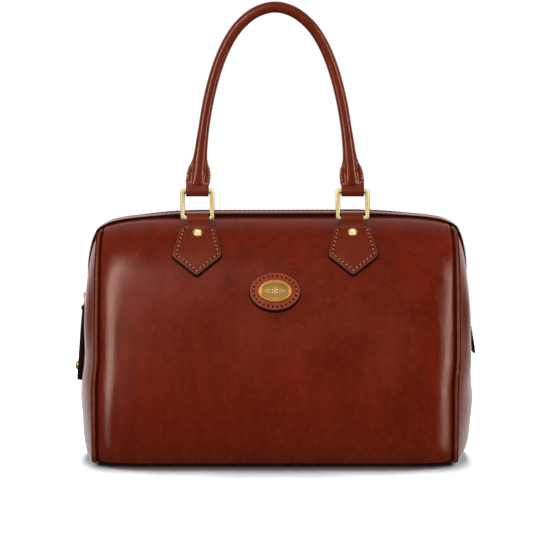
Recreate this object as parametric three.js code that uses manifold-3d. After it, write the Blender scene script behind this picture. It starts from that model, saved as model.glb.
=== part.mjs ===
// Leather bowling bag: a hollow body of separate leather panels with piped end seams, a zip that runs
// over the top and down both ends between raw-edged strips, and two rolled handles on brass rings.
// Millimetres, +Z up, -Y is the front. The origin is the middle of the flat base.

import * as THREE from 'three';
import { mergeVertices } from 'three/addons/utils/BufferGeometryUtils.js';
import Module from 'manifold-3d';

const wasm = await Module();
wasm.setup();

// Driving dimensions

const LEATHER = 2; // thickness of the body's leather
const GAP = 0.3; // clearance between neighbouring pieces
const BASE_LEATHER = 2.4;
const BASE_CURL = 9; // width of the base's turned-up edge
const BASE_SETBACK = 1.2; // from the panels' lower edge to the base's edge

const END_ROUNDING = 6; // power that keeps a panel flat along the bag and rounds it off at the end seams
const PIPING_RADIUS = 2.1;
const PIPING_TOP_ROW = 0.92; // where the piping tucks in below the zip strips, as a share of the rows
const PANEL_SETBACK = 2.6; // from the piping's centre to the panel's edge
const GUSSET_SETBACK = { x: 0.9, y: 3.8 }; // from the piping's centre to the end panel's edge
const GUSSET_FOOT = 8; // height of the end panels' lower edge, above the piping
const GUSSET_TOP_ROW = 0.91; // where the end panels stop under the zip strips

const ZIP_RISE = { top: 1, ends: 0.6 }; // the zip's middle above the panels' edges and the end panels
const ZIP_END_HEIGHT = 126;
const ZIP_SLOT_HEIGHT = 124;
const ZIP_SLOT_HALF = 13.2;
const ZIP_TAPE_HALF = 12.6;
const ZIP_TAPE_THICKNESS = 1;
const ZIP_CROWN = 0.8; // how far the zip's strips fall away from the middle to their outer edges
const STRIP = { inner: 4.5, outer: 17, thickness: 2.3, endHeight: 141 };
const CHAIN = { half: 2.9, rise: 2, endHeight: 139.5 };

const RING = { width: 23.9, height: 22.2, wire: 2, corner: 2.6 }; // on the wire's centre line
const LOOP = { bore: 2.4, leather: 2.2, half: 9.2 }; // leather turned round a ring's bar
const TAB_X = 63; // from the bag's middle to each handle tab
const TAB_TIP_RISE = 154; // along the panel, from the base seam to the tab's tip
const TAB_LOOP_RISE = 203.5; // along the panel to below the ring's lower bar
const TAB_LEATHER = 2.2;
const LOOP_LIFT = 5.3; // height of the ring's lower bar above the panel
const RIVET = { radius: 4.6, height: 3, rise: 189.5 };

const HANDLE_STEPS = 20;
const HANDLE_ROD = 9;
const BACK_RING_ANGLE = 105; // the back handle is folded down behind the bag, in degrees from upright
const BACK_HANDLE_ANGLE = 57;

const BADGE = { rise: 140.5, width: 40, height: 30, leather: 2 };
const PLATE = { width: 27, height: 18, thickness: 1.2, rim: 2.2 };

// Rows of the body from the base seam up to the zip. mid is the front panel halfway along the bag, seam its
// piped edge, endX the end panel on the bag's long axis and flank the swell on both sides of that axis.
const BODY = [
  { midDepth: 68, midHeight: 3.6, seamDepth: 58, seamHeight: 3.8, seamX: 145, endX: 150.5, flank: 0 },
  { midDepth: 73, midHeight: 11, seamDepth: 61.5, seamHeight: 10, seamX: 145, endX: 154.5, flank: 0 },
  { midDepth: 75, midHeight: 30, seamDepth: 63, seamHeight: 28, seamX: 145, endX: 158.3, flank: 0 },
  { midDepth: 74.5, midHeight: 60, seamDepth: 62.5, seamHeight: 57, seamX: 145, endX: 159.8, flank: 0.5 },
  { midDepth: 70.5, midHeight: 95, seamDepth: 59.5, seamHeight: 90, seamX: 145, endX: 156, flank: 3 },
  { midDepth: 63.5, midHeight: 130, seamDepth: 54.5, seamHeight: 123, seamX: 145, endX: 152.6, flank: 6 },
  { midDepth: 55.5, midHeight: 155, seamDepth: 48.5, seamHeight: 147, seamX: 145, endX: 154.2, flank: 2 },
  { midDepth: 46.5, midHeight: 173, seamDepth: 41.5, seamHeight: 164, seamX: 144.8, endX: 153.3, flank: 0.5 },
  { midDepth: 36, midHeight: 186.8, seamDepth: 32.5, seamHeight: 177, seamX: 144.3, endX: 150, flank: 0 },
  { midDepth: 25, midHeight: 195, seamDepth: 23.5, seamHeight: 185, seamX: 143.3, endX: 145.6, flank: 0 },
  { midDepth: 13.4, midHeight: 199.2, seamDepth: 13.4, seamHeight: 188.7, seamX: 142, endX: 142.9, flank: 0 },
];

// The filled bag slumps a little to its left: the upper corners shift along X and tilt.
const SLUMP = { shift: 1.8, tilt: 1.2, from: 60, to: 90 };

// Handle tab, from its tip up to the ring: half its width, and its height above the panel.
const TAB_ROWS = [
  { along: 0, half: 1.1, lift: 0 },
  { along: 1.4, half: 3.4, lift: 0 },
  { along: 15.4, half: 19.6, lift: 0 },
  { along: 17.6, half: 20, lift: 0 },
  { along: 29, half: 17.6, lift: 0 },
  { along: 39, half: 15.2, lift: 0 },
  { along: 42, half: 13.6, lift: 0.5 },
  { along: 44, half: 10.6, lift: 1.6 },
  { along: 45.6, half: 9.2, lift: 2.8 },
  { along: 48.4, half: 9.2, lift: 5.2 },
];

// Centre line of a handle above the bars that it hangs on, and its section from a bar to the round rod.
const HANDLE_ARCH = [
  { rise: 0, half: 63 },
  { rise: 25, half: 60.8 },
  { rise: 51, half: 57.6 },
  { rise: 77, half: 53 },
  { rise: 103, half: 45.6 },
  { rise: 122, half: 37 },
  { rise: 134.5, half: 28 },
  { rise: 144.6, half: 15 },
  { rise: 148.5, half: 0 },
];
const HANDLE_END = [
  { along: 2.8, width: 17.6, depth: 4.6 },
  { along: 6, width: 19, depth: 5.4 },
  { along: 13, width: 19.4, depth: 6.4 },
  { along: 19, width: 16.6, depth: 7.6 },
  { along: 25, width: 12, depth: 9 },
  { along: 33, width: 10.4, depth: 9.8 },
  { along: 52, width: HANDLE_ROD, depth: HANDLE_ROD },
];

// Zip pull, from its free end up to its fold, and the tab on the zip's other end, from its top down.
const PULL = { leather: 3.4, rivetAlong: 12, holeRadius: 1.7, tilt: 9.6, bore: 1.3 };
const PULL_ROWS = [
  { along: 0, half: 5 },
  { along: 2.5, half: 8 },
  { along: 14, half: 8.4 },
  { along: 42, half: 6 },
  { along: 49, half: 4 },
  { along: 56.5, half: 3.6 },
];
const LINK = { width: 10, height: 10, wire: 0.9, corner: 2 };
const SLIDER = { height: 132.5, half: 4.8, length: 10, rise: 2.6, bailRise: 3.4, bailHalf: 1.5, bailLength: 6 };
const END_TAB = { height: 138, leather: 2.2 };
const END_TAB_ROWS = [
  { down: 0, out: -0.2, half: 11 },
  { down: 11, out: -0.4, half: 11 },
  { down: 28, out: 4.6, half: 11 },
  { down: 49, out: 10, half: 10.6 },
  { down: 51.5, out: 10.7, half: 8 },
];

// Materials

const leather = new THREE.MeshStandardMaterial({ color: 0x6a2414, roughness: 0.38, metalness: 0 });
const leatherTrim = new THREE.MeshStandardMaterial({ color: 0x702a18, roughness: 0.42, metalness: 0 });
const brass = new THREE.MeshStandardMaterial({ color: 0xd0a95c, roughness: 0.25, metalness: 1 });
const zipCloth = new THREE.MeshStandardMaterial({ color: 0x2a140e, roughness: 0.85, metalness: 0 });

// Solids from grids and sections

function orientedGeometry(points, triangles) {
  let volume = 0;
  for (const [a, b, c] of triangles) {
    volume += points[a].dot(points[b].clone().cross(points[c]));
  }
  const index = triangles.flatMap(([a, b, c]) => (volume < 0 ? [a, c, b] : [a, b, c]));
  const geometry = new THREE.BufferGeometry().setFromPoints(points);
  geometry.setIndex(index);
  return geometry;
}

// A leather wall: the grid surface(u, v), moved out by offset, is its outer face. The normal is u cross v.
function wall(surface, us, vs, offset, thickness) {
  const step = 1e-3;
  const outer = [];
  const inner = [];
  for (const v of vs) {
    for (const u of us) {
      const alongU = surface(u + step, v).sub(surface(u - step, v));
      const alongV = surface(u, v + step).sub(surface(u, v - step));
      const normal = alongU.cross(alongV).normalize();
      const face = surface(u, v).addScaledVector(normal, offset);
      outer.push(face);
      inner.push(face.clone().addScaledVector(normal, -thickness));
    }
  }
  const columns = us.length;
  const count = outer.length;
  const triangles = [];
  for (let row = 0; row + 1 < vs.length; row++) {
    for (let column = 0; column + 1 < columns; column++) {
      const a = row * columns + column;
      const [b, c, d] = [a + 1, a + columns + 1, a + columns];
      triangles.push([a, b, c], [a, c, d]);
      triangles.push([a + count, c + count, b + count], [a + count, d + count, c + count]);
    }
  }
  const border = [];
  for (let column = 0; column < columns; column++) border.push(column);
  for (let row = 1; row < vs.length; row++) border.push(row * columns + columns - 1);
  for (let column = columns - 2; column >= 0; column--) border.push((vs.length - 1) * columns + column);
  for (let row = vs.length - 2; row > 0; row--) border.push(row * columns);
  border.forEach((a, i) => {
    const b = border[(i + 1) % border.length];
    triangles.push([a, a + count, b + count], [a, b + count, b]);
  });
  return orientedGeometry([...outer, ...inner], triangles);
}

// A solid through rings of equally many points: capped at both ends, or closed on itself.
function loft(rings, closed = false) {
  const sides = rings[0].length;
  const points = rings.flat();
  const triangles = [];
  const spans = closed ? rings.length : rings.length - 1;
  for (let ring = 0; ring < spans; ring++) {
    const next = (ring + 1) % rings.length;
    for (let side = 0; side < sides; side++) {
      const other = (side + 1) % sides;
      const [a, b] = [ring * sides + side, ring * sides + other];
      const [c, d] = [next * sides + other, next * sides + side];
      triangles.push([a, b, c], [a, c, d]);
    }
  }
  if (!closed) {
    const last = (rings.length - 1) * sides;
    for (let side = 1; side + 1 < sides; side++) {
      triangles.push([0, side + 1, side], [last, last + side, last + side + 1]);
    }
  }
  return orientedGeometry(points, triangles);
}

function solidOf(geometry) {
  const bare = geometry.clone();
  bare.deleteAttribute('normal');
  bare.deleteAttribute('uv');
  const merged = mergeVertices(bare, 1e-4);
  const vertProperties = new Float32Array(merged.attributes.position.array);
  const triVerts = new Uint32Array(merged.index.array);
  return new wasm.Manifold(new wasm.Mesh({ numProp: 3, vertProperties, triVerts }));
}

function geometryOf(solid) {
  const { vertProperties, triVerts } = solid.getMesh();
  const geometry = new THREE.BufferGeometry();
  geometry.setAttribute('position', new THREE.BufferAttribute(vertProperties, 3));
  geometry.setIndex(new THREE.BufferAttribute(triVerts, 1));
  return geometry;
}

// A round bar along X, centred on the given place in the YZ plane.
function barAlongX(radius, length, place, sides) {
  const bar = new THREE.CylinderGeometry(radius, radius, length, sides);
  return bar.rotateZ(Math.PI / 2).translate(place.x, place.y, place.z);
}

// A leather piece joined to the loop that it turns round a bar along X, with the bar's bore left open.
function withLoop(geometry, place, bore, thickness, half) {
  const around = solidOf(barAlongX(bore + thickness, 2 * half, place, 14));
  const hole = solidOf(barAlongX(bore / Math.cos(Math.PI / 14), 3 * half, place, 14));
  return geometryOf(solidOf(geometry).add(around).subtract(hole));
}

function named(name, geometry, material) {
  const mesh = new THREE.Mesh(geometry, material);
  mesh.name = name;
  return mesh;
}

// Evenly spaced values from one number to another
const spread = (from, to, count) => Array.from({ length: count + 1 }, (_, i) => from + ((to - from) * i) / count);

// Values from -1 to 1 that crowd together towards both ends
const crowded = (count) => spread(-1, 1, count).map((value) => Math.sin((value * Math.PI) / 2));

const { clamp, smoothstep, lerp, degToRad } = THREE.MathUtils;

// Looks a column up in rows that are sorted by another column
function lookup(rows, key, value, column) {
  const last = rows.length - 1;
  let i = rows.findIndex((row) => row[key] >= value);
  i = i < 0 ? last : Math.max(i, 1);
  const [low, high] = [rows[i - 1], rows[i]];
  return lerp(low[column], high[column], (value - low[key]) / (high[key] - low[key]));
}

// The body's outer surface

const rowPoints = (first, second) => BODY.map((row) => new THREE.Vector2(row[first], row[second]));
const midCurve = new THREE.SplineCurve(rowPoints('midDepth', 'midHeight'));
const seamCurve = new THREE.SplineCurve(rowPoints('seamDepth', 'seamHeight'));
const endCurve = new THREE.SplineCurve(rowPoints('endX', 'flank'));
const seamXCurve = new THREE.SplineCurve(rowPoints('seamX', 'seamX'));
const at = (curve, t) => curve.getPoint(clamp(t, 0, 1));

function slump(point) {
  const share = Math.min(1, Math.abs(point.x) / BODY[0].seamX);
  const upper = smoothstep(point.z, SLUMP.from, SLUMP.to);
  point.z += Math.sign(point.x) * SLUMP.tilt * share ** 2 * upper;
  point.x += SLUMP.shift * share ** 4 * upper;
  return point;
}

// s runs from the left end seam to the right one, and t from the base seam to the zip.
function panelPoint(s, t) {
  const section = at(midCurve, t).lerp(at(seamCurve, t), Math.min(1, Math.abs(s)) ** END_ROUNDING);
  return slump(new THREE.Vector3(s * (at(seamXCurve, t).x - PANEL_SETBACK), -section.x, section.y));
}

// u runs from the front seam to the back one; side is -1 for the left end and 1 for the right.
function gussetPoint(side, u, t) {
  const seam = at(seamCurve, t);
  const end = at(endCurve, t);
  const edge = at(seamXCurve, t).x + GUSSET_SETBACK.x;
  const swell = smoothstep(Math.abs(u), 0.42, 0.62) * (1 - smoothstep(Math.abs(u), 0.62, 1));
  const x = edge + (end.x - edge) * (1 - u * u) + end.y * swell;
  return slump(new THREE.Vector3(side * x, u * (seam.x - GUSSET_SETBACK.y), seam.y));
}

// The row, from 0 to 1, where the end seam is at a height
function rowAtHeight(height) {
  const rows = spread(0, 1, 400);
  return rows.find((t) => at(seamCurve, t).y >= height);
}

// The row at a distance along the panel's middle section, measured up from the base seam
const rowAtRise = (rise) => midCurve.getUtoTmapping(rise / midCurve.getLength());

// A point above the front panel, and the panel's outward normal there
function abovePanel(x, rise, lift) {
  const t = rowAtRise(rise);
  const s = x / (BODY[0].seamX - PANEL_SETBACK);
  const step = 1e-3;
  const alongS = panelPoint(s + step, t).sub(panelPoint(s - step, t));
  const alongT = panelPoint(s, t + step).sub(panelPoint(s, t - step));
  const normal = alongS.cross(alongT).normalize();
  return { point: panelPoint(s, t).addScaledVector(normal, lift), normal };
}

// Panels, base and piping

function panel() {
  return wall(panelPoint, crowded(16), spread(0, 1, 13), 0, LEATHER);
}

function gusset(side) {
  const surface = (u, t) => gussetPoint(side, side * u, t);
  const rows = spread(rowAtHeight(GUSSET_FOOT), GUSSET_TOP_ROW, 13);
  const sheet = solidOf(wall(surface, crowded(10), rows, 0, LEATHER));
  const slotTop = 2 * BODY.at(-1).midHeight;
  const slot = new THREE.BoxGeometry(BODY[0].seamX, 2 * ZIP_SLOT_HALF, slotTop);
  slot.translate(side * BODY[0].seamX, 0, ZIP_SLOT_HEIGHT + slotTop / 2);
  return geometryOf(sheet.subtract(solidOf(slot)));
}

function base() {
  const { midDepth, seamDepth, midHeight, seamX, endX } = BODY[0];
  const halfDepth = (u) => lerp(midDepth, seamDepth, Math.min(1, Math.abs(u)) ** END_ROUNDING) - BASE_SETBACK;
  const bulge = (v) => lerp(seamX, endX - GUSSET_SETBACK.x, 1 - Math.min(1, Math.abs(v)) ** 2);
  const surface = (u, v) => {
    const halfLength = bulge(v) - PANEL_SETBACK;
    const fromEdge = Math.min((1 - Math.abs(u)) * halfLength, (1 - Math.abs(v)) * halfDepth(u));
    const rise = (midHeight - GAP) * Math.max(0, 1 - fromEdge / BASE_CURL) ** 2;
    return new THREE.Vector3(u * halfLength, -v * halfDepth(u), rise);
  };
  const edgeRows = (reach) => [-1, -1 + 4.5 / reach, -1 + (1.25 * BASE_CURL) / reach];
  const mirrored = (half) => [...half, 0, ...half.map((value) => -value).reverse()];
  const us = mirrored([...edgeRows(seamX), -0.85, -0.7]);
  const vs = mirrored(edgeRows(seamDepth));
  return wall(surface, us, vs, 0, BASE_LEATHER);
}

// The piping follows an end seam down the front, along the base and up the back.
function piping(side) {
  const { seamX, endX } = BODY[0];
  const seamPoint = (face, t) => {
    const seam = at(seamCurve, t);
    return slump(new THREE.Vector3(side * at(seamXCurve, t).x, face * seam.x, seam.y));
  };
  const rows = spread(PIPING_TOP_ROW, 0.03, 15);
  const front = rows.map((t) => seamPoint(-1, t));
  const back = rows.map((t) => seamPoint(1, t)).reverse();
  const bottom = [-0.84, -0.45, 0, 0.45, 0.84].map((u) => {
    const x = lerp(seamX, endX - GUSSET_SETBACK.x, 1 - u * u);
    return new THREE.Vector3(side * x, gussetPoint(side, u, 0).y, PIPING_RADIUS + GAP);
  });
  const path = new THREE.CatmullRomCurve3([...front, ...bottom, ...back]);
  const profile = new THREE.Shape().absarc(0, 0, PIPING_RADIUS, 0, 2 * Math.PI);
  return new THREE.ExtrudeGeometry(profile, { steps: 40, extrudePath: path, curveSegments: 3 });
}

// Zip

const zipRows = spread(rowAtHeight(ZIP_END_HEIGHT), rowAtHeight(BODY[9].seamHeight), 7);
const zipTop = [-0.965, -0.92, -0.85, -0.7, -0.45, 0, 0.45, 0.7, 0.85, 0.92, 0.965];
const zipEnd = (side) => zipRows.map((t) => gussetPoint(side, 0, t).add(new THREE.Vector3(side * ZIP_RISE.ends, 0, 0)));
const zipPath = new THREE.CatmullRomCurve3([
  ...zipEnd(-1),
  ...zipTop.map((s) => panelPoint(s, 1).setY(0).add(new THREE.Vector3(0, 0, ZIP_RISE.top))),
  ...zipEnd(1).reverse(),
]);
zipPath.arcLengthDivisions = 800;

// The place along the zip, from 0 to 1, where it passes a height on one end of the bag
function zipAtHeight(side, height) {
  const places = spread(0, 0.5, 400);
  const place = places.find((at) => zipPath.getPointAt(at).z >= height);
  return side < 0 ? place : 1 - place;
}

function zipFrame(at) {
  const origin = zipPath.getPointAt(at);
  const tangent = zipPath.getTangentAt(at);
  const normal = tangent.clone().cross(new THREE.Vector3(0, 1, 0)).normalize();
  return { origin, tangent, normal };
}

// A bar along the zip. Its section lists how far out from the zip's middle each corner is, and how high.
function alongZip(section, from, to, steps) {
  const rings = spread(from, to, steps).map((at) => {
    const { origin, normal } = zipFrame(at);
    return section.map(({ out, up }) => {
      const fall = ZIP_CROWN * (out / STRIP.outer) ** 2;
      return origin.clone().addScaledVector(normal, up - fall).add(new THREE.Vector3(0, out, 0));
    });
  });
  return loft(rings);
}

function boxSection(inner, outer, low, high) {
  return [
    { out: inner, up: low },
    { out: outer, up: low },
    { out: outer, up: high },
    { out: inner, up: high },
  ];
}

function zipStrip(face) {
  const section = boxSection(face * STRIP.inner, face * STRIP.outer, GAP, GAP + STRIP.thickness);
  return alongZip(section, zipAtHeight(-1, STRIP.endHeight), zipAtHeight(1, STRIP.endHeight), 44);
}

function zipTape() {
  const top = -GAP / 2;
  const section = boxSection(-ZIP_TAPE_HALF, ZIP_TAPE_HALF, top - ZIP_TAPE_THICKNESS, top);
  return alongZip(section, 0, 1, 44);
}

function zipChain() {
  const section = boxSection(-CHAIN.half, CHAIN.half, GAP / 2, CHAIN.rise);
  return alongZip(section, zipAtHeight(-1, CHAIN.endHeight), zipAtHeight(1, CHAIN.endHeight), 44);
}

// A frame at one end of the zip: its Z points out of the bag and its Y up along the zip.
function zipEndGroup(side, height) {
  const { origin, tangent, normal } = zipFrame(zipAtHeight(side, height));
  const up = tangent.multiplyScalar(-side);
  const group = new THREE.Group();
  group.position.copy(origin);
  group.quaternion.setFromRotationMatrix(new THREE.Matrix4().makeBasis(up.clone().cross(normal), up, normal));
  return group;
}

// Slider body, narrower at its lower end, with a bail over its middle
function zipSlider() {
  const { half, length, rise, bailRise, bailHalf, bailLength } = SLIDER;
  const outline = new THREE.Shape();
  outline.moveTo(-half, length / 2);
  outline.lineTo(-half * 0.62, -length / 2);
  outline.lineTo(half * 0.62, -length / 2);
  outline.lineTo(half, length / 2);
  const bevel = 0.6;
  const options = { depth: rise - 2 * bevel, bevelSize: bevel, bevelThickness: bevel, bevelSegments: 1, bevelOffset: -bevel };
  const body = new THREE.ExtrudeGeometry(outline, options).translate(0, 0, GAP / 2 + bevel);
  const arch = new THREE.Shape();
  arch.moveTo(-bailLength / 2, 0);
  arch.lineTo(-bailLength / 2 + 1, bailRise);
  arch.lineTo(bailLength / 2 - 1, bailRise);
  arch.lineTo(bailLength / 2, 0);
  const bail = new THREE.ExtrudeGeometry(arch, { depth: 2 * bailHalf, bevelEnabled: false });
  bail.translate(0, 0, -bailHalf).rotateY(Math.PI / 2).rotateX(Math.PI / 2).translate(0, 0, rise - 0.2);
  const eye = barAlongX(LINK.wire + GAP, 3 * half, new THREE.Vector3(0, 0, rise + LINK.wire + GAP), 10);
  return geometryOf(solidOf(body).add(solidOf(bail)).subtract(solidOf(eye)));
}

// A flat frame of round wire in the XZ plane, with its lower bar's middle at the origin
function wireFrame({ width, height, wire, corner }, sides) {
  const corners = [
    [1, 0],
    [1, 1],
    [-1, 1],
    [-1, 0],
  ];
  const rings = corners.flatMap(([right, top], i) => {
    const centre = new THREE.Vector3(right * (width / 2 - corner), 0, top ? height - corner : corner);
    return spread(0, 1, 3).map((share) => {
      const turn = ((i - 1 + share) * Math.PI) / 2;
      const outward = new THREE.Vector3(Math.cos(turn), 0, Math.sin(turn));
      const middle = centre.clone().addScaledVector(outward, corner);
      return Array.from({ length: sides }, (_, k) => {
        const angle = (2 * Math.PI * k) / sides;
        const point = middle.clone().addScaledVector(outward, wire * Math.cos(angle));
        return point.setY(wire * Math.sin(angle));
      });
    });
  });
  return loft(rings, true);
}

// The folded leather pull, in a frame with its fold's bar along X at the origin and its free end below
function zipPull() {
  const reach = PULL_ROWS.at(-1).along;
  const surface = (u, v) => new THREE.Vector3(u * lookup(PULL_ROWS, 'along', v, 'half'), 0, v - reach);
  const rows = PULL_ROWS.map((row) => row.along);
  const strap = wall(surface, [-1, 0, 1], rows, PULL.leather / 2, PULL.leather);
  const looped = withLoop(strap, new THREE.Vector3(), PULL.bore, PULL.leather / 2, PULL_ROWS.at(-1).half);
  const hole = new THREE.CylinderGeometry(PULL.holeRadius, PULL.holeRadius, 4 * PULL.leather, 10);
  hole.translate(0, 0, PULL.rivetAlong - reach);
  return geometryOf(solidOf(looped).subtract(solidOf(hole)));
}

// A domed head on the outer side, a shank through the leather and a smaller cap behind it, turned about Y
function pullRivet() {
  const seat = PULL.leather / 2 + GAP / 2;
  const profile = [
    [0, -seat - 1.1],
    [2.4, -seat - 0.7],
    [2.9, -seat],
    [PULL.holeRadius - GAP, -seat],
    [PULL.holeRadius - GAP, seat],
    [4, seat],
    [3.3, seat + 1.4],
    [1.8, seat + 2.3],
    [0, seat + 2.6],
  ].map(([radius, height]) => new THREE.Vector2(radius, height));
  return new THREE.LatheGeometry(profile, 12);
}

function zipEndTab() {
  const rows = END_TAB_ROWS.map(({ down, out, half }) => new THREE.Vector3(half, -down, out)).reverse();
  const line = new THREE.CatmullRomCurve3(rows);
  const surface = (u, v) => at(line, v).multiply(new THREE.Vector3(u, 1, 1));
  return wall(surface, [-1, 0, 1], [0, 0.12, 0.25, 0.45, 0.65, 0.82, 1], GAP + END_TAB.leather, END_TAB.leather);
}

// Handles and their hardware, for the front; the back's are mirrored

// A leather piece laid on the front panel, whose rows give its half width and its lift at places along it
function applique(rows, centreX, startRise, thickness) {
  const surface = (u, v) => {
    const half = lookup(rows, 'along', v, 'half');
    return abovePanel(centreX + u * half, startRise + v, lookup(rows, 'along', v, 'lift')).point;
  };
  const along = rows.map((row) => row.along);
  return wall(surface, [-1, -0.5, 0, 0.5, 1], along, GAP + thickness, thickness);
}

const loopPlace = abovePanel(TAB_X, TAB_LOOP_RISE, LOOP_LIFT).point.setX(0);

function handleTab(side) {
  const sheet = applique(TAB_ROWS, side * TAB_X, TAB_TIP_RISE, TAB_LEATHER);
  const place = loopPlace.clone().setX(side * TAB_X);
  return withLoop(sheet, place, LOOP.bore, LOOP.leather, LOOP.half);
}

function dome({ radius, height }) {
  const rim = 0.5;
  const arc = spread(0, 1, 4).map((share) => {
    const angle = (share * Math.PI) / 2;
    return new THREE.Vector2(radius * Math.cos(angle), rim + (height - rim) * Math.sin(angle));
  });
  arc.at(-1).x = 0;
  return new THREE.LatheGeometry([new THREE.Vector2(0, 0), new THREE.Vector2(radius, 0), ...arc], 10);
}

// Sets a piece that was turned about Y on the front panel, at a height above it
function setOnPanel(mesh, x, rise, lift) {
  const { point, normal } = abovePanel(x, rise, lift);
  mesh.position.copy(point);
  mesh.quaternion.setFromUnitVectors(new THREE.Vector3(0, 1, 0), normal);
  return mesh;
}

// The rolled handle in the XZ plane, with the bars that it hangs on along X at height 0
function handle() {
  const left = HANDLE_ARCH.map(({ rise, half }) => new THREE.Vector3(-half, 0, rise));
  const right = HANDLE_ARCH.slice(0, -1).map(({ rise, half }) => new THREE.Vector3(half, 0, rise)).reverse();
  const arch = new THREE.CatmullRomCurve3([...left, ...right]);
  const length = arch.getLength();
  const ends = HANDLE_END.map((row) => row.along);
  const rod = spread(ends.at(-1), length - ends.at(-1), HANDLE_STEPS).slice(1, -1);
  const stations = [...ends, ...rod, ...ends.map((along) => length - along).reverse()];
  const sides = 10;
  const rings = stations.map((along) => {
    const fromEnd = Math.min(along, length - along, ends.at(-1));
    const width = lookup(HANDLE_END, 'along', fromEnd, 'width');
    const depth = lookup(HANDLE_END, 'along', fromEnd, 'depth');
    const middle = arch.getPointAt(along / length);
    const across = arch.getTangentAt(along / length).cross(new THREE.Vector3(0, 1, 0));
    return Array.from({ length: sides }, (_, k) => {
      const angle = (2 * Math.PI * (k + 0.5)) / sides;
      const point = middle.clone().addScaledVector(across, (width / 2) * Math.cos(angle));
      return point.setY((depth / 2) * Math.sin(angle));
    });
  });
  const looped = [-TAB_X, TAB_X].reduce((geometry, x) => {
    return withLoop(geometry, new THREE.Vector3(x, 0, 0), LOOP.bore, LOOP.leather, LOOP.half);
  }, loft(rings));
  return looped;
}

// Rings on the tabs and the handle on the rings. The angles lean each outwards, away from the zip.
function swingingHandle(face, ringAngle, handleAngle) {
  const rings = new THREE.Group();
  rings.position.copy(loopPlace);
  rings.rotation.x = degToRad(ringAngle);
  for (const [name, side] of [['left', -1], ['right', 1]]) {
    const ring = named(`${face}_${name}_ring`, wireFrame(RING, 8), brass);
    ring.position.x = side * TAB_X;
    rings.add(ring);
  }
  const grip = named(`${face}_handle`, handle(), leatherTrim);
  grip.position.z = RING.height;
  grip.rotation.x = degToRad(handleAngle);
  rings.add(grip);
  return rings;
}

function faceGroup(face, ringAngle, handleAngle) {
  const group = new THREE.Group();
  group.add(named(`${face}_panel`, panel(), leather));
  for (const [name, side] of [['left', -1], ['right', 1]]) {
    group.add(named(`${face}_${name}_tab`, handleTab(side), leatherTrim));
    const rivet = named(`${face}_${name}_rivet`, dome(RIVET), brass);
    group.add(setOnPanel(rivet, side * TAB_X, RIVET.rise, TAB_LEATHER + 2 * GAP));
  }
  group.add(swingingHandle(face, ringAngle, handleAngle));
  return group;
}

// Oval badge: a leather patch and a plain brass plate with a raised rim

function badgePatch() {
  const rows = spread(-84, 84, 12).map((degrees) => {
    const angle = degToRad(degrees);
    return { along: (BADGE.height / 2) * Math.sin(angle), half: (BADGE.width / 2) * Math.cos(angle), lift: 0 };
  });
  return applique(rows, 0, BADGE.rise, BADGE.leather);
}

function badgePlate() {
  const half = PLATE.width / 2;
  const field = half - PLATE.rim;
  const profile = [
    [0, 0],
    [half - 0.4, 0],
    [half, 0.4],
    [half - 0.5, PLATE.thickness + 0.5],
    [field + 0.5, PLATE.thickness + 0.5],
    [field, PLATE.thickness],
    [0, PLATE.thickness],
  ].map(([radius, height]) => new THREE.Vector2(radius, height));
  return new THREE.LatheGeometry(profile, 24).scale(1, 1, PLATE.height / PLATE.width);
}

// Assembly

const bag = new THREE.Group();

bag.add(faceGroup('front', 0, 0));
const back = faceGroup('back', BACK_RING_ANGLE, BACK_HANDLE_ANGLE);
back.scale.y = -1;
bag.add(back);

bag.add(named('base_panel', base(), leather));
for (const [name, side] of [['left', -1], ['right', 1]]) {
  bag.add(named(`${name}_gusset`, gusset(side), leather));
  bag.add(named(`${name}_piping`, piping(side), leatherTrim));
}

bag.add(named('front_zip_strip', zipStrip(-1), leatherTrim));
bag.add(named('back_zip_strip', zipStrip(1), leatherTrim));
bag.add(named('zip_tape', zipTape(), zipCloth));
bag.add(named('zip_chain', zipChain(), brass));

const sliderGroup = zipEndGroup(-1, SLIDER.height);
sliderGroup.add(named('zip_slider', zipSlider(), brass));
const linkGroup = new THREE.Group();
linkGroup.position.z = SLIDER.rise + LINK.wire + GAP;
linkGroup.rotation.x = degToRad(-PULL.tilt - 90);
const link = named('zip_pull_link', wireFrame(LINK, 6), brass);
link.position.z = -LINK.height;
const pullGroup = new THREE.Group();
pullGroup.position.z = -LINK.height;
const pullRivetMesh = named('zip_pull_rivet', pullRivet(), brass);
pullRivetMesh.position.z = PULL.rivetAlong - PULL_ROWS.at(-1).along;
pullRivetMesh.rotation.x = Math.PI;
pullGroup.add(named('zip_pull', zipPull(), leatherTrim), pullRivetMesh);
linkGroup.add(link, pullGroup);
sliderGroup.add(linkGroup);
bag.add(sliderGroup);

const endTabGroup = zipEndGroup(1, END_TAB.height);
endTabGroup.add(named('zip_end_tab', zipEndTab(), leatherTrim));
bag.add(endTabGroup);

bag.add(setOnPanel(named('badge_plate', badgePlate(), brass), 0, BADGE.rise, BADGE.leather + 2 * GAP));
bag.add(named('badge_patch', badgePatch(), leatherTrim));

export default bag;
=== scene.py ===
"""The looks of the leather bowling bag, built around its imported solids.

Sizes are in millimetres, in the same frame as the solids, and mesh_object turns them into metres.
"""

import math

import bpy
import numpy as np
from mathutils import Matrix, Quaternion, Vector


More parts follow.
